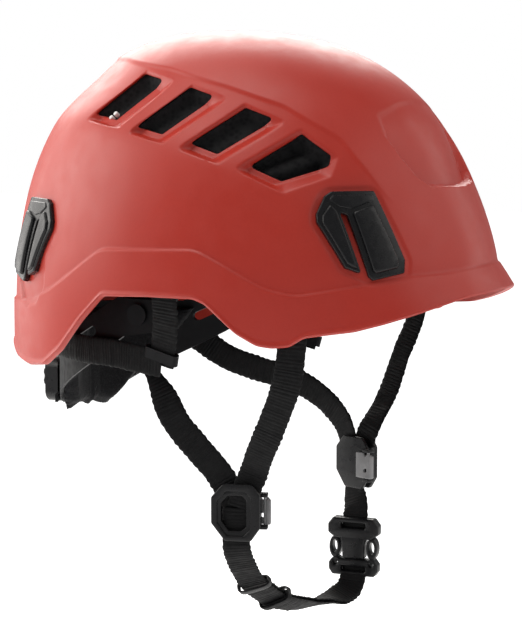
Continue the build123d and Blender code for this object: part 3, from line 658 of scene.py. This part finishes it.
for step in range(11):
    turn = math.radians(167.3 - 13.12 * step)
    spot = (84.2 * math.cos(turn), 100.2 * math.sin(turn), -11 - max(step - 7, 0) * 3)
    NAPE.append((spot, (math.cos(turn), math.sin(turn), 0)))
NAPE[:0] = [((-84.2, -5, -14), (-1, 0.02, 0)), ((-84.4, 8, -12.5), (-1, 0.1, 0))]


def smooth_run(run, spacing):
    """Even stations on a smooth curve through a run: points, directions along, faces."""
    points = np.array([tuple(p) for p, _ in run], float)
    normals = np.array([tuple(Vector(n).normalized()) for _, n in run])
    chord = np.concatenate([[0], np.cumsum(np.linalg.norm(np.diff(points, axis=0), axis=1))])
    fine = np.linspace(0, chord[-1], 1200)
    slope = np.gradient(points, chord, axis=0)
    i = np.clip(np.searchsorted(chord, fine) - 1, 0, len(chord) - 2)
    h = (chord[i + 1] - chord[i])[:, None]
    t = ((fine - chord[i])[:, None]) / h
    curve = (
        (2 * t ** 3 - 3 * t ** 2 + 1) * points[i] + (t ** 3 - 2 * t ** 2 + t) * h * slope[i]
        + (-2 * t ** 3 + 3 * t ** 2) * points[i + 1] + (t ** 3 - t ** 2) * h * slope[i + 1]
    )
    length = np.concatenate([[0], np.cumsum(np.linalg.norm(np.diff(curve, axis=0), axis=1))])
    even = np.linspace(0, length[-1], max(int(length[-1] / spacing), 8))
    point = np.stack([np.interp(even, length, curve[:, k]) for k in range(3)], axis=-1)
    blend = np.interp(even, length, fine)
    face = np.stack([np.interp(blend, chord, normals[:, k]) for k in range(3)], axis=-1)
    along = np.gradient(point, axis=0)
    along /= np.linalg.norm(along, axis=1, keepdims=True)
    face -= along * np.sum(face * along, axis=1, keepdims=True)
    face /= np.linalg.norm(face, axis=1, keepdims=True)
    return even, point, along, face


def ripple(s, seed):
    """A slow, uneven wave, the same every run."""
    total = np.zeros_like(s)
    for k, (size, height) in enumerate([(31, 0.5), (13.7, 0.35), (6.1, 0.3), (3.3, 0.22)]):
        total += height * np.sin(2 * math.pi * s / size + seed * 1.7 + k * 2.1)
    return total


def tape(name, run, seed, wide=15.0, thick=1.6, rib=0.34, gather=None, slant=0.0, wave=0.5):
    """Ribbed webbing along a run: cross ribs on both faces, lightly scalloped edges.

    gather gives (start, stop, factor): the width narrows by factor at the start.
    slant leans the ribs over by that many millimetres at each edge.
    """
    s, point, along, face = smooth_run(run, 0.3)
    across = np.cross(face, along)
    uneven = 0.75 + 0.5 * np.clip(ripple(s, seed + 3), -1, 1)
    beat = s / RIB_PITCH + 0.25 * ripple(s * 0.7, seed)
    half = wide / 2 + 0.5 * np.abs(np.sin(math.pi * s / 3.7 + seed)) * uneven - 0.45
    if gather:
        start, stop, factor = gather
        half = half * (factor + (1 - factor) * smooth((s - start) / (stop - start)))
    u = np.sin(np.linspace(-math.pi / 2, math.pi / 2, 11))
    ring = []
    for side, order in ((1, u), (-1, u[::-1])):
        for a in order:
            edge = math.sqrt(max(1 - a ** 8, 0.02))
            skew = 0.35 * np.sin(a * 2.4 + s / 9 + seed)
            lean = a * slant / RIB_PITCH
            ribs = np.abs(np.sin(math.pi * (beat + lean))) ** 0.6 * uneven
            bend = wave * ripple(s + skew * 8, seed) * 0.35 * (0.3 + abs(a))
            lift = side * (thick / 2 - rib) * edge + side * rib * ribs * edge + bend
            ring.append(point + across * (half * a)[:, None] + face * lift[:, None])
    verts = np.stack(ring, axis=1)
    rows, size = verts.shape[:2]
    faces = []
    for r in range(rows - 1):
        for k in range(size):
            j = (k + 1) % size
            faces.append((r * size + k, r * size + j, (r + 1) * size + j, (r + 1) * size + k))
    faces.append(tuple(reversed(range(size))))
    faces.append(tuple(range((rows - 1) * size, rows * size)))
    return new_mesh(name, verts.reshape(-1, 3) * MM, faces, TAPE, 60)


def strap(obj, body, *nodes):
    """Hides the nodes that a run of webbing stands for and puts it on its body; without a body it is left
    unattached.
    """
    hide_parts(*nodes)
    if body:
        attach(obj, body)


def metres(point):
    """A point in metres, from millimetres."""
    return tuple(c * MM for c in point)


STRAPS = [
    ("front_right", FRONT_RIGHT, 1), ("front_left", FRONT_LEFT, 2), ("side_right", SIDE_RIGHT, 3),
    ("side_left", SIDE_LEFT, 4), ("lower_left", LOWER_LEFT, 5),
]
for name, run, seed in STRAPS:
    strap(tape("webbing_" + name, run, seed), "helmet", "strap_" + name)
strap(tape("webbing_nape", NAPE, 6, slant=7.0, wave=0.3), "nape", "strap_nape")
rear_right = tape("webbing_rear_right", REAR_RIGHT, 7, gather=(2, 26, 0.55))
strap(rear_right, None, "strap_rear_right")
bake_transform(rear_right)
rear_left = tape("webbing_rear_left", REAR_LEFT, 8)
strap(rear_left, None, "strap_rear_left")
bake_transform(rear_left)
chin = tape("webbing_chin", CHIN, 9)
strap(chin, None, "strap_chin")
chin_tail = tape("webbing_chin_tail", CHIN_TAIL, 12, wide=14.6, thick=1.5, wave=0.4)
strap(chin_tail, None)
for layer in (chin, chin_tail):
    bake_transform(layer)


# ---- moulded fittings --------------------------------------------------------------------
def plate(name, outlines, seat, low, high, bevel, material, flip=1):
    """A flat moulding with rounded edges: outlines in a seat's x, y, the first one the rim."""
    data = bpy.data.curves.new(name, "CURVE")
    data.dimensions = "2D"
    data.fill_mode = "BOTH"
    data.extrude = (high - low) / 2 * MM - bevel * MM
    data.bevel_depth = bevel * MM
    data.bevel_resolution = 2
    data.offset = -bevel * MM
    for outline in outlines:
        spline = data.splines.new("POLY")
        spline.points.add(len(outline) - 1)
        for point, (x, y) in zip(spline.points, outline):
            point.co = (flip * x * MM, y * MM, 0, 1)
        spline.use_cyclic_u = True
    drawn = bpy.data.objects.new(name, data)
    bpy.context.scene.collection.objects.link(drawn)
    bpy.context.view_layer.update()
    mesh = bpy.data.meshes.new_from_object(drawn.evaluated_get(bpy.context.evaluated_depsgraph_get()))
    bpy.data.objects.remove(drawn)
    bpy.data.curves.remove(data)
    shift = Matrix.Translation((0, 0, (low + high) / 2 * MM))
    place = seat.matrix()
    place.translation *= MM
    mesh.transform(place @ shift)
    turn_out(mesh, merge=True)
    return as_object(name, mesh, material, 35)


def oval(cx, cy, rx, ry, count=28):
    return [
        (cx + rx * math.cos(2 * math.pi * i / count), cy + ry * math.sin(2 * math.pi * i / count))
        for i in range(count)
    ]


def joined(name, objects):
    """One object from several meshes."""
    work = bmesh.new()
    materials = []
    for obj in objects:
        for slot_material in obj.data.materials:
            if slot_material not in materials:
                materials.append(slot_material)
        first = len(work.faces)
        work.from_mesh(obj.data)
        work.faces.ensure_lookup_table()
        for face in work.faces[first:]:
            face.material_index = materials.index(obj.data.materials[0])
    for obj in objects:
        bpy.data.objects.remove(obj)
    mesh = bpy.data.meshes.new(name)
    work.to_mesh(mesh)
    work.free()
    for slot_material in materials:
        mesh.materials.append(slot_material)
    obj = bpy.data.objects.new(name, mesh)
    bpy.context.scene.collection.objects.link(obj)
    return obj


def fitting(obj, body, slot_name, *nodes):
    """Puts a piece on its body and hides the nodes that it stands for; the finish name that it is given is
    not used.
    """
    if nodes:
        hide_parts(*nodes)
    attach(obj, body)


def conform(obj, seat, stand):
    """Bends a plate made on a seat so that it hugs the shell, standing off by `stand`."""
    work = bmesh.new()
    work.from_mesh(obj.data)
    bmesh.ops.triangulate(work, faces=work.faces)
    for _ in range(3):
        long = [e for e in work.edges if e.calc_length() > 3.2 * MM]
        if not long:
            break
        bmesh.ops.subdivide_edges(work, edges=long, cuts=1, use_grid_fill=False)
        bmesh.ops.triangulate(work, faces=work.faces)
    points = np.array([v.co for v in work.verts]) / MM
    a, b, c = seat_view(points, seat)
    foot = np.array(seat.o) + a[:, None] * np.array(seat.x) + b[:, None] * np.array(seat.y)
    height = np.zeros(len(a))
    for _ in range(12):
        at = foot + height[:, None] * np.array(seat.z)
        reach = np.where(at[:, 1] > 0, REAR, FRONT)
        level = np.hypot(at[:, 0] / HALF, at[:, 1] / reach)
        tall = np.maximum(at[:, 2], 0) / CROWN
        size = (level ** POWER + tall ** POWER) ** (1 / POWER)
        height += (1 - size) * 105
    at = foot + (height + c + stand)[:, None] * np.array(seat.z)
    for v, co in zip(work.verts, at * MM):
        v.co = co
    work.to_mesh(obj.data)
    work.free()
    obj.data.polygons.foreach_set("use_smooth", [True] * len(obj.data.polygons))
    obj.data.set_sharp_from_angle(angle=math.radians(28))


CLIP_BODY = rounded(
    [(-12, 21.5), (10, 21.5), (24.5, -13), (24, -19.5), (7, -23), (4.8, -21), (-4.8, 9.5),
     (-8.5, 11), (1.2, -19.6), (-7, -16.5), (-20, 6.5), (-20, 10.5), (-15.3, 19.4)], 1.1, 3)
CLIP_FINGER = rounded(
    [(-9.8, 11.2), (-0.4, -18), (-6.2, -14.8), (-17.6, 5.6), (-17.4, 9.4), (-13, 15.4)], 1.5, 3)
CLIP_PAD = rounded(
    [(-2.2, 10.4), (8.6, 14.5), (20.6, -13.2), (20.2, -17.2), (8.2, -19.8), (6.8, -18.4)], 1.5, 3)
CLIP_BROW = rounded(
    [(-11.6, 19.4), (8.9, 19.4), (9.6, 16.4), (-2.6, 12.4), (-8.6, 13.6), (-13.6, 17.2)], 1.0, 3)


# each level of a clip: outline, foot, top, edge radius
CLIP_LEVELS = [
    (CLIP_BODY, -1.0, 2.4, 0.7), (CLIP_FINGER, 1.4, 3.6, 1.0), (CLIP_PAD, 1.4, 4.2, 1.3),
    (CLIP_BROW, 1.4, 3.0, 0.6),
]


def make_clip(name, seat, flip):
    """A headlamp clip: a body split by a slot, a slim finger, a broad pad and a brow."""
    levels = [
        plate("level", [outline], seat, foot, top, edge, GLOSS, flip)
        for outline, foot, top, edge in CLIP_LEVELS
    ]
    clip = joined(name + "_moulding", levels)
    conform(clip, seat, -1.2)
    fitting(clip, "helmet", "black_plastic", name)


for name, seat, flip in CLIP_SEATS:
    make_clip(name, seat, flip)


# ---- dividers and levers -----------------------------------------------------------------
DIVIDER_FACE = rounded([(-6.5, 15), (8.5, 15), (12.6, 9.5), (12.6, -8), (8, -14.6), (-5.6, -14.6),
                        (-12.6, -5.5), (-12.6, 8)], 2.2, 4)
WINDOW = rounded([(-7.5, 5), (-4, 8.8), (3.5, 8.8), (5.4, 6.4), (5.4, -7.5), (2.6, -9.6),
                  (-3.6, -9.6), (-7.5, -4.4)], 2.0, 4)
WINDOW_STEP = rounded([(-9.4, 6), (-5, 11.2), (5, 11.2), (7.6, 8), (7.6, -8.6), (4, -12),
                       (-4.6, -12), (-9.4, -5.4)], 2.4, 4)


def make_divider(name, seat, flip):
    """Two frames with the webbing between them: the outer has a stepped window."""
    parts = [
        plate("front", [DIVIDER_FACE, WINDOW], seat, 2.0, 3.4, 0.5, BLACK, flip),
        plate("rim", [DIVIDER_FACE, WINDOW_STEP], seat, 2.9, 4.6, 0.6, BLACK, flip),
        plate("back", [DIVIDER_FACE], seat, -4.0, -2.0, 0.7, BLACK, flip),
        plate("heel", [rounded([(-12.6, -4), (-9.6, -4), (-4.4, -11.5), (-4.6, -14.6), (-5.6, -14.6),
                                (-12.6, -5.5)], 0.8, 3)], seat, -3.2, 3.2, 0.5, BLACK, flip),
        plate("cheek", [rounded([(9.6, 10), (12.6, 9.5), (12.6, -8), (9.6, -9)], 0.8, 3)],
              seat, -3.2, 3.2, 0.5, BLACK, flip),
    ]
    for low in (-9.4, 7.4):
        ear = rounded([(10.6, low), (15.7, low), (15.7, low + 2), (10.6, low + 2)], 0.5, 3)
        parts.append(plate("ear", [ear], seat, -6.2, -1.2, 0.5, BLACK, flip))
    fitting(joined(name + "_moulding", parts), "helmet", "black_plastic", name)


def make_lever(name, seat, flip, body):
    """A folded grey plate on the pin, notched at the top, with a small round hole."""
    leaf = rounded([(6, -7.2), (17, -7.2), (17, 5.4), (15.2, 7.4), (13.4, 5), (11.6, 7.4), (6, 7)], 0.7, 3)
    hole = oval(13.2, -2.6, 1.2, 1.2, 18)
    parts = [
        plate("leaf", [leaf, hole], seat, -6.4, -5.0, 0.35, GREY, flip),
        plate("lip", [rounded([(14.6, -7.2), (17.2, -7.2), (17.2, 5.4), (14.6, 6.4)], 0.8, 3)],
              seat, -6.2, -3.0, 0.6, GREY, flip),
    ]
    fitting(joined(name + "_plate", parts), body, "grey_plastic", name)


make_divider("divider_right", DIVIDER_RIGHT, 1)
make_divider("divider_left", DIVIDER_LEFT, -1)
make_lever("lever_right", DIVIDER_RIGHT, 1, "lever_r")
make_lever("lever_left", DIVIDER_LEFT, -1, "lever_l")


# ---- chin buckle -------------------------------------------------------------------------
SOCKET_HEAD = rounded([(-15, 7.6), (-15, 12.6), (-12, 16.5), (12, 16.5), (15, 12.6), (15, 7.6),
                       (10.5, 4.6), (-10.5, 4.6)], 1.6, 4)
SOCKET_SLOT = rounded([(-7.3, 10.8), (-7.3, 13.8), (7.3, 13.8), (7.3, 10.8)], 0.9, 3)
SOCKET_NECK = rounded([(-8.2, 8.5), (8.2, 8.5), (6.6, 1), (6.4, -6.6), (-6.4, -6.6), (-6.6, 1)], 0.8, 3)
TONGUE_FOOT = rounded([(-12.4, -16.6), (12.4, -16.6), (14.6, -13.5), (14.6, -9.6), (12.6, -7),
                       (-12.6, -7), (-14.6, -9.6), (-14.6, -13.5)], 1.5, 4)
TONGUE_SLOT = rounded([(-7.3, -14.2), (-7.3, -11.2), (7.3, -11.2), (7.3, -14.2)], 0.9, 3)


def make_buckle():
    """The chin buckle: a socket, a tongue, and a sprung press arm on each side."""
    neck = [
        plate("head", [SOCKET_HEAD, SOCKET_SLOT], BUCKLE, -3.5, 3.5, 1.1, BLACK),
        plate("neck", [SOCKET_NECK], BUCKLE, -3.4, 3.4, 0.9, BLACK),
        plate("spine", [rounded([(-2.4, 6), (2.4, 6), (2.0, -4.6), (-2.0, -4.6)], 0.9, 3)],
              BUCKLE, -3.9, -2.8, 0.4, BLACK),
    ]
    for y in (-3.2, -4.6, -6.0):
        rib = rounded([(-5.4, y - 0.35), (5.4, y - 0.35), (5.4, y + 0.35), (-5.4, y + 0.35)], 0.2, 2)
        neck.append(plate("rib", [rib], BUCKLE, -3.8, -3.0, 0.15, BLACK))
    fitting(joined("buckle_socket_moulding", neck), "helmet", "black_plastic", "buckle_socket")
    holes = [oval(side * 10.6, -9.1, 1.5, 1.7) for side in (-1, 1)]
    foot = [
        plate("foot", [TONGUE_FOOT, TONGUE_SLOT] + holes, BUCKLE, -3.3, 3.3, 1.0, BLACK),
        plate("tongue", [rounded([(-4, -8), (4, -8), (4, 2), (2.4, 3.4), (-2.4, 3.4), (-4, 2)], 0.8, 3)],
              BUCKLE, -1.9, 1.9, 0.6, BLACK),
    ]
    fitting(joined("buckle_tongue_moulding", foot), "tongue", "black_plastic", "buckle_tongue")
    for side, name, body in ((1, "press_arm_front", "arm_front"), (-1, "press_arm_rear", "arm_rear")):
        arm = [
            plate("pad", [oval(side * 11.0, -0.6, 3.3, 6.3), oval(side * 11.0, -0.2, 1.5, 3.5)],
                  BUCKLE, -3.0, 3.0, 0.75, BLACK),
            plate("stem", [rounded([(side * 9.6, -9.6), (side * 12.1, -9.6), (side * 12.3, -4.6),
                                    (side * 9.5, -4.6)][::side], 0.6, 3)],
                  BUCKLE, -2.2, 2.2, 0.5, BLACK),
        ]
        fitting(joined(name + "_moulding", arm), body, "black_plastic", name)


make_buckle()


# ---- keeper and loop on the chin webbing -------------------------------------------------
def loop(name, run, at, wide, deep, tall, thick, material, rib=0.0):
    """A closed band round the webbing at one station of its run."""
    ahead = (Vector(run[at + 1][0]) - Vector(run[at - 1][0])).normalized()
    face = Vector(run[at][1]).normalized()
    face = (face - ahead * face.dot(ahead)).normalized()
    across = face.cross(ahead)
    corners = [(-wide / 2, -deep / 2), (wide / 2, -deep / 2), (wide / 2, deep / 2), (-wide / 2, deep / 2)]
    outline = []
    for (ax, ay), (bx, by) in zip(corners, corners[1:] + corners[:1]):
        outline += [(ax + (bx - ax) * k / 24, ay + (by - ay) * k / 24) for k in range(24)]
    outline = [
        (x * (1 - 0.09 * (abs(y) / (deep / 2)) ** 4), y * (1 - 0.25 * (abs(x) / (wide / 2)) ** 6))
        for x, y in outline
    ]
    section = rounded([(-tall / 2, 0), (tall / 2, 0), (tall / 2, thick), (-tall / 2, thick)], thick * 0.4, 3)
    verts = []
    count = len(outline)
    for i, (x, y) in enumerate(outline):
        ex = outline[(i + 1) % count][0] - outline[i - 1][0]
        ey = outline[(i + 1) % count][1] - outline[i - 1][1]
        size = math.hypot(ex, ey)
        out_x, out_y = ey / size, -ex / size
        swell = rib * abs(math.sin(math.pi * i / 3))
        for along, height in section:
            lift = height + swell * height / thick
            sway = 0.25 * math.sin(i / 9) + along
            place = Vector(run[at][0]) + across * (x + out_x * lift) + face * (y + out_y * lift)
            verts.append(metres(place + ahead * sway))
    size = len(section)
    faces = []
    for i in range(count):
        for k in range(size):
            j, m = (i + 1) % count, (k + 1) % size
            faces.append((i * size + k, j * size + k, j * size + m, i * size + m))
    obj = new_mesh(name, verts, faces, material, 50)
    turn_out(obj.data)
    return obj


keeper = joined("keeper_moulding", [
    loop("band", CHIN_TAIL, 1, 16.4, 5.4, 3.6, 1.1, BLACK),
    loop("band", CHIN, 4, 16.4, 5.2, 3.4, 1.1, BLACK),
])
fitting(keeper, "helmet", "black_plastic", "strap_keeper")
fitting(loop("tail_loop_band", CHIN, 5, 16.2, 5.0, 4.6, 0.8, TAPE, 0.25), "helmet", "elastic", "tail_loop")


# ---- fabric pads -------------------------------------------------------------------------
PAD_VOXEL = 2.0     # the remeshed pads' grid
PAD_PRESSURE = 4.0  # inside a pad during its cloth run
PAD_SWELL = 1.2     # the furthest that the cloth run may move a point
HEAD_RADIUS = 88    # turns an angle round the head into a distance along a pad


def pad(name, node, body, quilt, depth, trim=None):
    """A stuffed pad: the plain form, swelled by a cloth run, then quilted.

    quilt is the distance between quilting lines, round the head, and depth their depth.
    trim is a point and a direction: what lies before that plane is left off first.
    """
    obj = as_object(name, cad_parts[node].data.copy(), PAD, None)
    if trim:
        work = bmesh.new()
        work.from_mesh(obj.data)
        bmesh.ops.remove_doubles(work, verts=work.verts, dist=0.00001)
        cutting = bmesh.ops.bisect_plane(
            work, geom=work.verts[:] + work.edges[:] + work.faces[:], plane_co=metres(trim[0]),
            plane_no=trim[1], clear_inner=True)
        edges = [e for e in cutting["geom_cut"] if isinstance(e, bmesh.types.BMEdge)]
        bmesh.ops.holes_fill(work, edges=edges)
        work.to_mesh(obj.data)
        work.free()
    remesh = obj.modifiers.new("remesh", "REMESH")
    remesh.mode = "VOXEL"
    remesh.voxel_size = PAD_VOXEL * MM
    baked(obj)
    before = np.array([v.co for v in obj.data.vertices])
    cloth = obj.modifiers.new("cloth", "CLOTH")
    cloth.settings.use_pressure = True
    cloth.settings.uniform_pressure_force = PAD_PRESSURE
    cloth.settings.effector_weights.gravity = 0
    cloth.settings.quality = 5
    cloth.settings.mass = 0.3
    cloth.settings.tension_stiffness = 20
    cloth.settings.compression_stiffness = 20
    cloth.settings.bending_stiffness = 2
    cloth.point_cache.frame_start = 1
    cloth.point_cache.frame_end = 20
    for number in range(1, 21):
        bpy.context.scene.frame_set(number)
    baked(obj)
    bpy.context.scene.frame_set(1)
    after = np.array([v.co for v in obj.data.vertices])
    move = after - before
    far = np.linalg.norm(move, axis=1, keepdims=True)
    move *= np.minimum(PAD_SWELL * MM / np.maximum(far, 1e-9), 1.0)
    obj.data.vertices.foreach_set("co", (before + move).ravel())
    finer = obj.modifiers.new("finer", "SUBSURF")
    finer.levels = 1
    baked(obj)
    obj.data.polygons.foreach_set("use_smooth", [True] * len(obj.data.polygons))
    quilting(obj, quilt, depth, wavy=trim is not None)
    obj.data.materials.clear()
    obj.data.materials.append(PAD)
    fitting(obj, body, "pad_fabric", node)
    return obj


def quilting(obj, spacing, depth, wavy):
    """Presses stitched lines into a pad, and gives its lower edge a wave."""
    points = np.array([v.co for v in obj.data.vertices]) / MM
    normals = np.array([v.normal for v in obj.data.vertices])
    turn = np.arctan2(points[:, 0], -points[:, 1])
    round_head = turn * HEAD_RADIUS
    if abs(points[:, 2]).min() > 90:
        round_head = points[:, 0] + points[:, 1] * 0.6
    gap = np.abs((round_head + spacing / 2) % spacing - spacing / 2)
    press = depth * np.exp(-(gap / 1.3) ** 2)
    press += 0.12 * np.sin(points[:, 2] * 2.9) * np.sin(round_head * 2.7)
    press += 0.3 * depth * np.sin(round_head / 7.3 + points[:, 2] / 7.9)
    points -= normals * press[:, None]
    if wavy:
        low = smooth((-14 - points[:, 2]) / 24)
        points[:, 2] += 2.2 * low * np.sin(round_head * 2 * math.pi / 34 + 0.8)
    obj.data.vertices.foreach_set("co", (points * MM).ravel())
    obj.data.update()


def seam(name, obj, offset, body):
    """Raised stitches along the top of a pad."""
    points = np.array([v.co for v in obj.data.vertices]) / MM
    turn = np.arctan2(points[:, 0], -points[:, 1])
    edges = np.linspace(turn.min() + 0.06, turn.max() - 0.06, 260)
    places = []
    for angle in edges[:-2:3]:
        band = points[np.abs(turn - angle) < 0.03]
        if len(band) < 6:
            continue
        level = band[:, 2].max() - offset
        ring = band[np.abs(band[:, 2] - level) < 2.0]
        if len(ring) < 2:
            continue
        reach = np.hypot(ring[:, 0], ring[:, 1]).min() - 0.1
        here = Vector((math.sin(angle) * reach, -math.cos(angle) * reach, level))
        ahead = Vector((math.cos(angle), math.sin(angle), 0))
        outer = Vector((math.sin(angle), -math.cos(angle), 0))
        places.append((here, ahead, outer))
    verts = []
    faces = []
    for here, ahead, outer in places:
        first = len(verts)
        for t, thick in ((-1.3, 0.1), (-0.8, 0.34), (0.8, 0.34), (1.3, 0.1)):
            for c in range(6):
                a = math.pi * 2 * c / 6
                side = outer * math.cos(a) * thick + Vector((0, 0, 1)) * math.sin(a) * thick
                verts.append(metres(here + ahead * t + side))
        for t in range(3):
            for c in range(6):
                d = (c + 1) % 6
                row = first + t * 6
                faces.append((row + c, row + d, row + 6 + d, row + 6 + c))
        faces.append(tuple(first + c for c in range(5, -1, -1)))
        faces.append(tuple(first + 18 + c for c in range(6)))
    fitting(new_mesh(name, verts, faces, TAPE, None), body, "webbing")


nape_cushion = pad("nape_cushion", "nape_pad", "nape", 34.0, 0.3, ((0, 60, -8), (0, 0.84, 0.54)))
brow_cushion = pad("brow_cushion", "brow_pad", "helmet", 22.0, 0.6)
pad("crown_cushion", "crown_pad", "helmet", 16.0, 0.6)
seam("nape_stitches", nape_cushion, 3.0, "nape")
seam("brow_stitches", brow_cushion, 3.0, "helmet")


# ---- pins in the liner -------------------------------------------------------------------
def make_pins():
    """Two pale pins in the liner behind each rear vent."""
    for side, name in ((-1, "liner_pins_right"), (1, "liner_pins_left")):
        made = []
        for y, z in ((30.7, 114.2), (28.4, 116.3)):
            level = (1 - (z / CROWN) ** POWER) ** (1 / POWER)
            x = HALF * math.sqrt(level ** 2 - (y / REAR) ** 2)
            normal = outward(np.array([side * x, y, z]))
            seat = Seat((side * x, y, z), tuple(normal))
            made.append(plate("pin", [oval(0, 0, 1.2, 1.2, 20)], seat, -9.0, -6.2, 0.4, PALE))
        fitting(joined(name, made), "helmet", "grey_plastic")


make_pins()


# ---- finishes for the plain mouldings that keep their CAD form ---------------------------
FINISH = {
    BAND: [
        "headband", "band_hangers", "nape_cradle", "rack_left", "rack_right", "pivot_pins",
        "strap_guides",
    ],
    BLACK: ["dial_housing", "dial_knob", "pinion", "strap_anchors"],
    STEEL: ["lever_pins"],
}
for finish, names in FINISH.items():
    for node in names:
        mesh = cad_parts[node].data
        mesh.materials.clear()
        mesh.materials.append(finish)


# ---- camera, light and floor -------------------------------------------------------------
def add_camera():
    """The viewpoint of a product picture: from the wearer's front right, a little above."""
    turn, lift, away = math.radians(-62), math.radians(7), 1.2
    back = Vector((math.sin(turn) * math.cos(lift), -math.cos(turn) * math.cos(lift), math.sin(lift)))
    data = bpy.data.cameras.new("camera")
    camera = bpy.data.objects.new("camera", data)
    bpy.context.scene.collection.objects.link(camera)
    camera.location = Vector((0, -0.018, 0)) + back * away
    camera.rotation_euler = back.to_track_quat("Z", "Y").to_euler()
    seen = 0.54 * MM * 640
    data.lens = data.sensor_width * away / seen
    data.clip_start = 0.01
    bpy.context.scene.camera = camera


def add_light(name, azimuth, elevation, distance_m, size, watts, target=(0, 0, 0.03)):
    turn, lift = math.radians(azimuth), math.radians(elevation)
    away = Vector((math.sin(turn) * math.cos(lift), -math.cos(turn) * math.cos(lift), math.sin(lift)))
    data = bpy.data.lights.new(name, "AREA")
    data.shape = "RECTANGLE"
    data.size, data.size_y = size
    data.energy = watts
    data.color = (1.0, 0.97, 0.93)
    light = bpy.data.objects.new(name, data)
    bpy.context.scene.collection.objects.link(light)
    light.location = Vector(target) + away * distance_m
    light.rotation_euler = away.to_track_quat("Z", "Y").to_euler()


def seen_or_lit(tree, lit, seen):
    """A strength that differs between what the camera sees and the light it gives."""
    path = tree.nodes.new("ShaderNodeLightPath")
    strength = tree.nodes.new("ShaderNodeMapRange")
    strength.inputs["To Min"].default_value = lit
    strength.inputs["To Max"].default_value = seen
    tree.links.new(path.outputs["Is Camera Ray"], strength.inputs["Value"])
    return strength.outputs["Result"]


def add_floor():
    """A pale floor under the lowest strap."""
    material = Shader("studio_floor", (0.9, 0.9, 0.9), 0.9)
    material.link(seen_or_lit(material.tree, 0.32, 1.0), material.surface.inputs["Emission Strength"])
    material.surface.inputs["Emission Color"].default_value = (1, 1, 1, 1)
    material.tint(material.noise(300, 2), (0.88, 0.88, 0.88), 0.3, 0.7)
    size = 6.0
    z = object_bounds()[0][2] - 0.25
    verts = [(-size, -size, z), (size, -size, z), (size, size, z), (-size, size, z)]
    floor = new_mesh("studio_floor", verts, [(0, 1, 2, 3)], material.material, None)


def add_world():
    """White to the camera, a softer white as light on the object."""
    world = bpy.data.worlds.new("studio")
    world.use_nodes = True
    tree = world.node_tree
    background = tree.nodes["Background"]
    background.inputs["Color"].default_value = (1, 1, 1, 1)
    tree.links.new(seen_or_lit(tree, 0.27, 1.0), background.inputs["Strength"])
    bpy.context.scene.world = world


bpy.context.scene.view_settings.view_transform = "Standard"
add_camera()
add_floor()
add_world()
add_light("key_rear", -150, 22, 0.95, (0.8, 0.7), 6.5)
add_light("back_softbox", 128, 36, 1.0, (1.0, 0.6), 12)
add_light("left_low", 176, 8, 1.0, (0.7, 0.7), 2.9)
add_light("strip_front", 50, 14, 0.9, (0.18, 0.8), 1.0)
add_light("front_fill", 5, 28, 1.1, (0.9, 0.9), 2.8)
add_light("top", -110, 72, 1.0, (0.7, 0.7), 4.5)
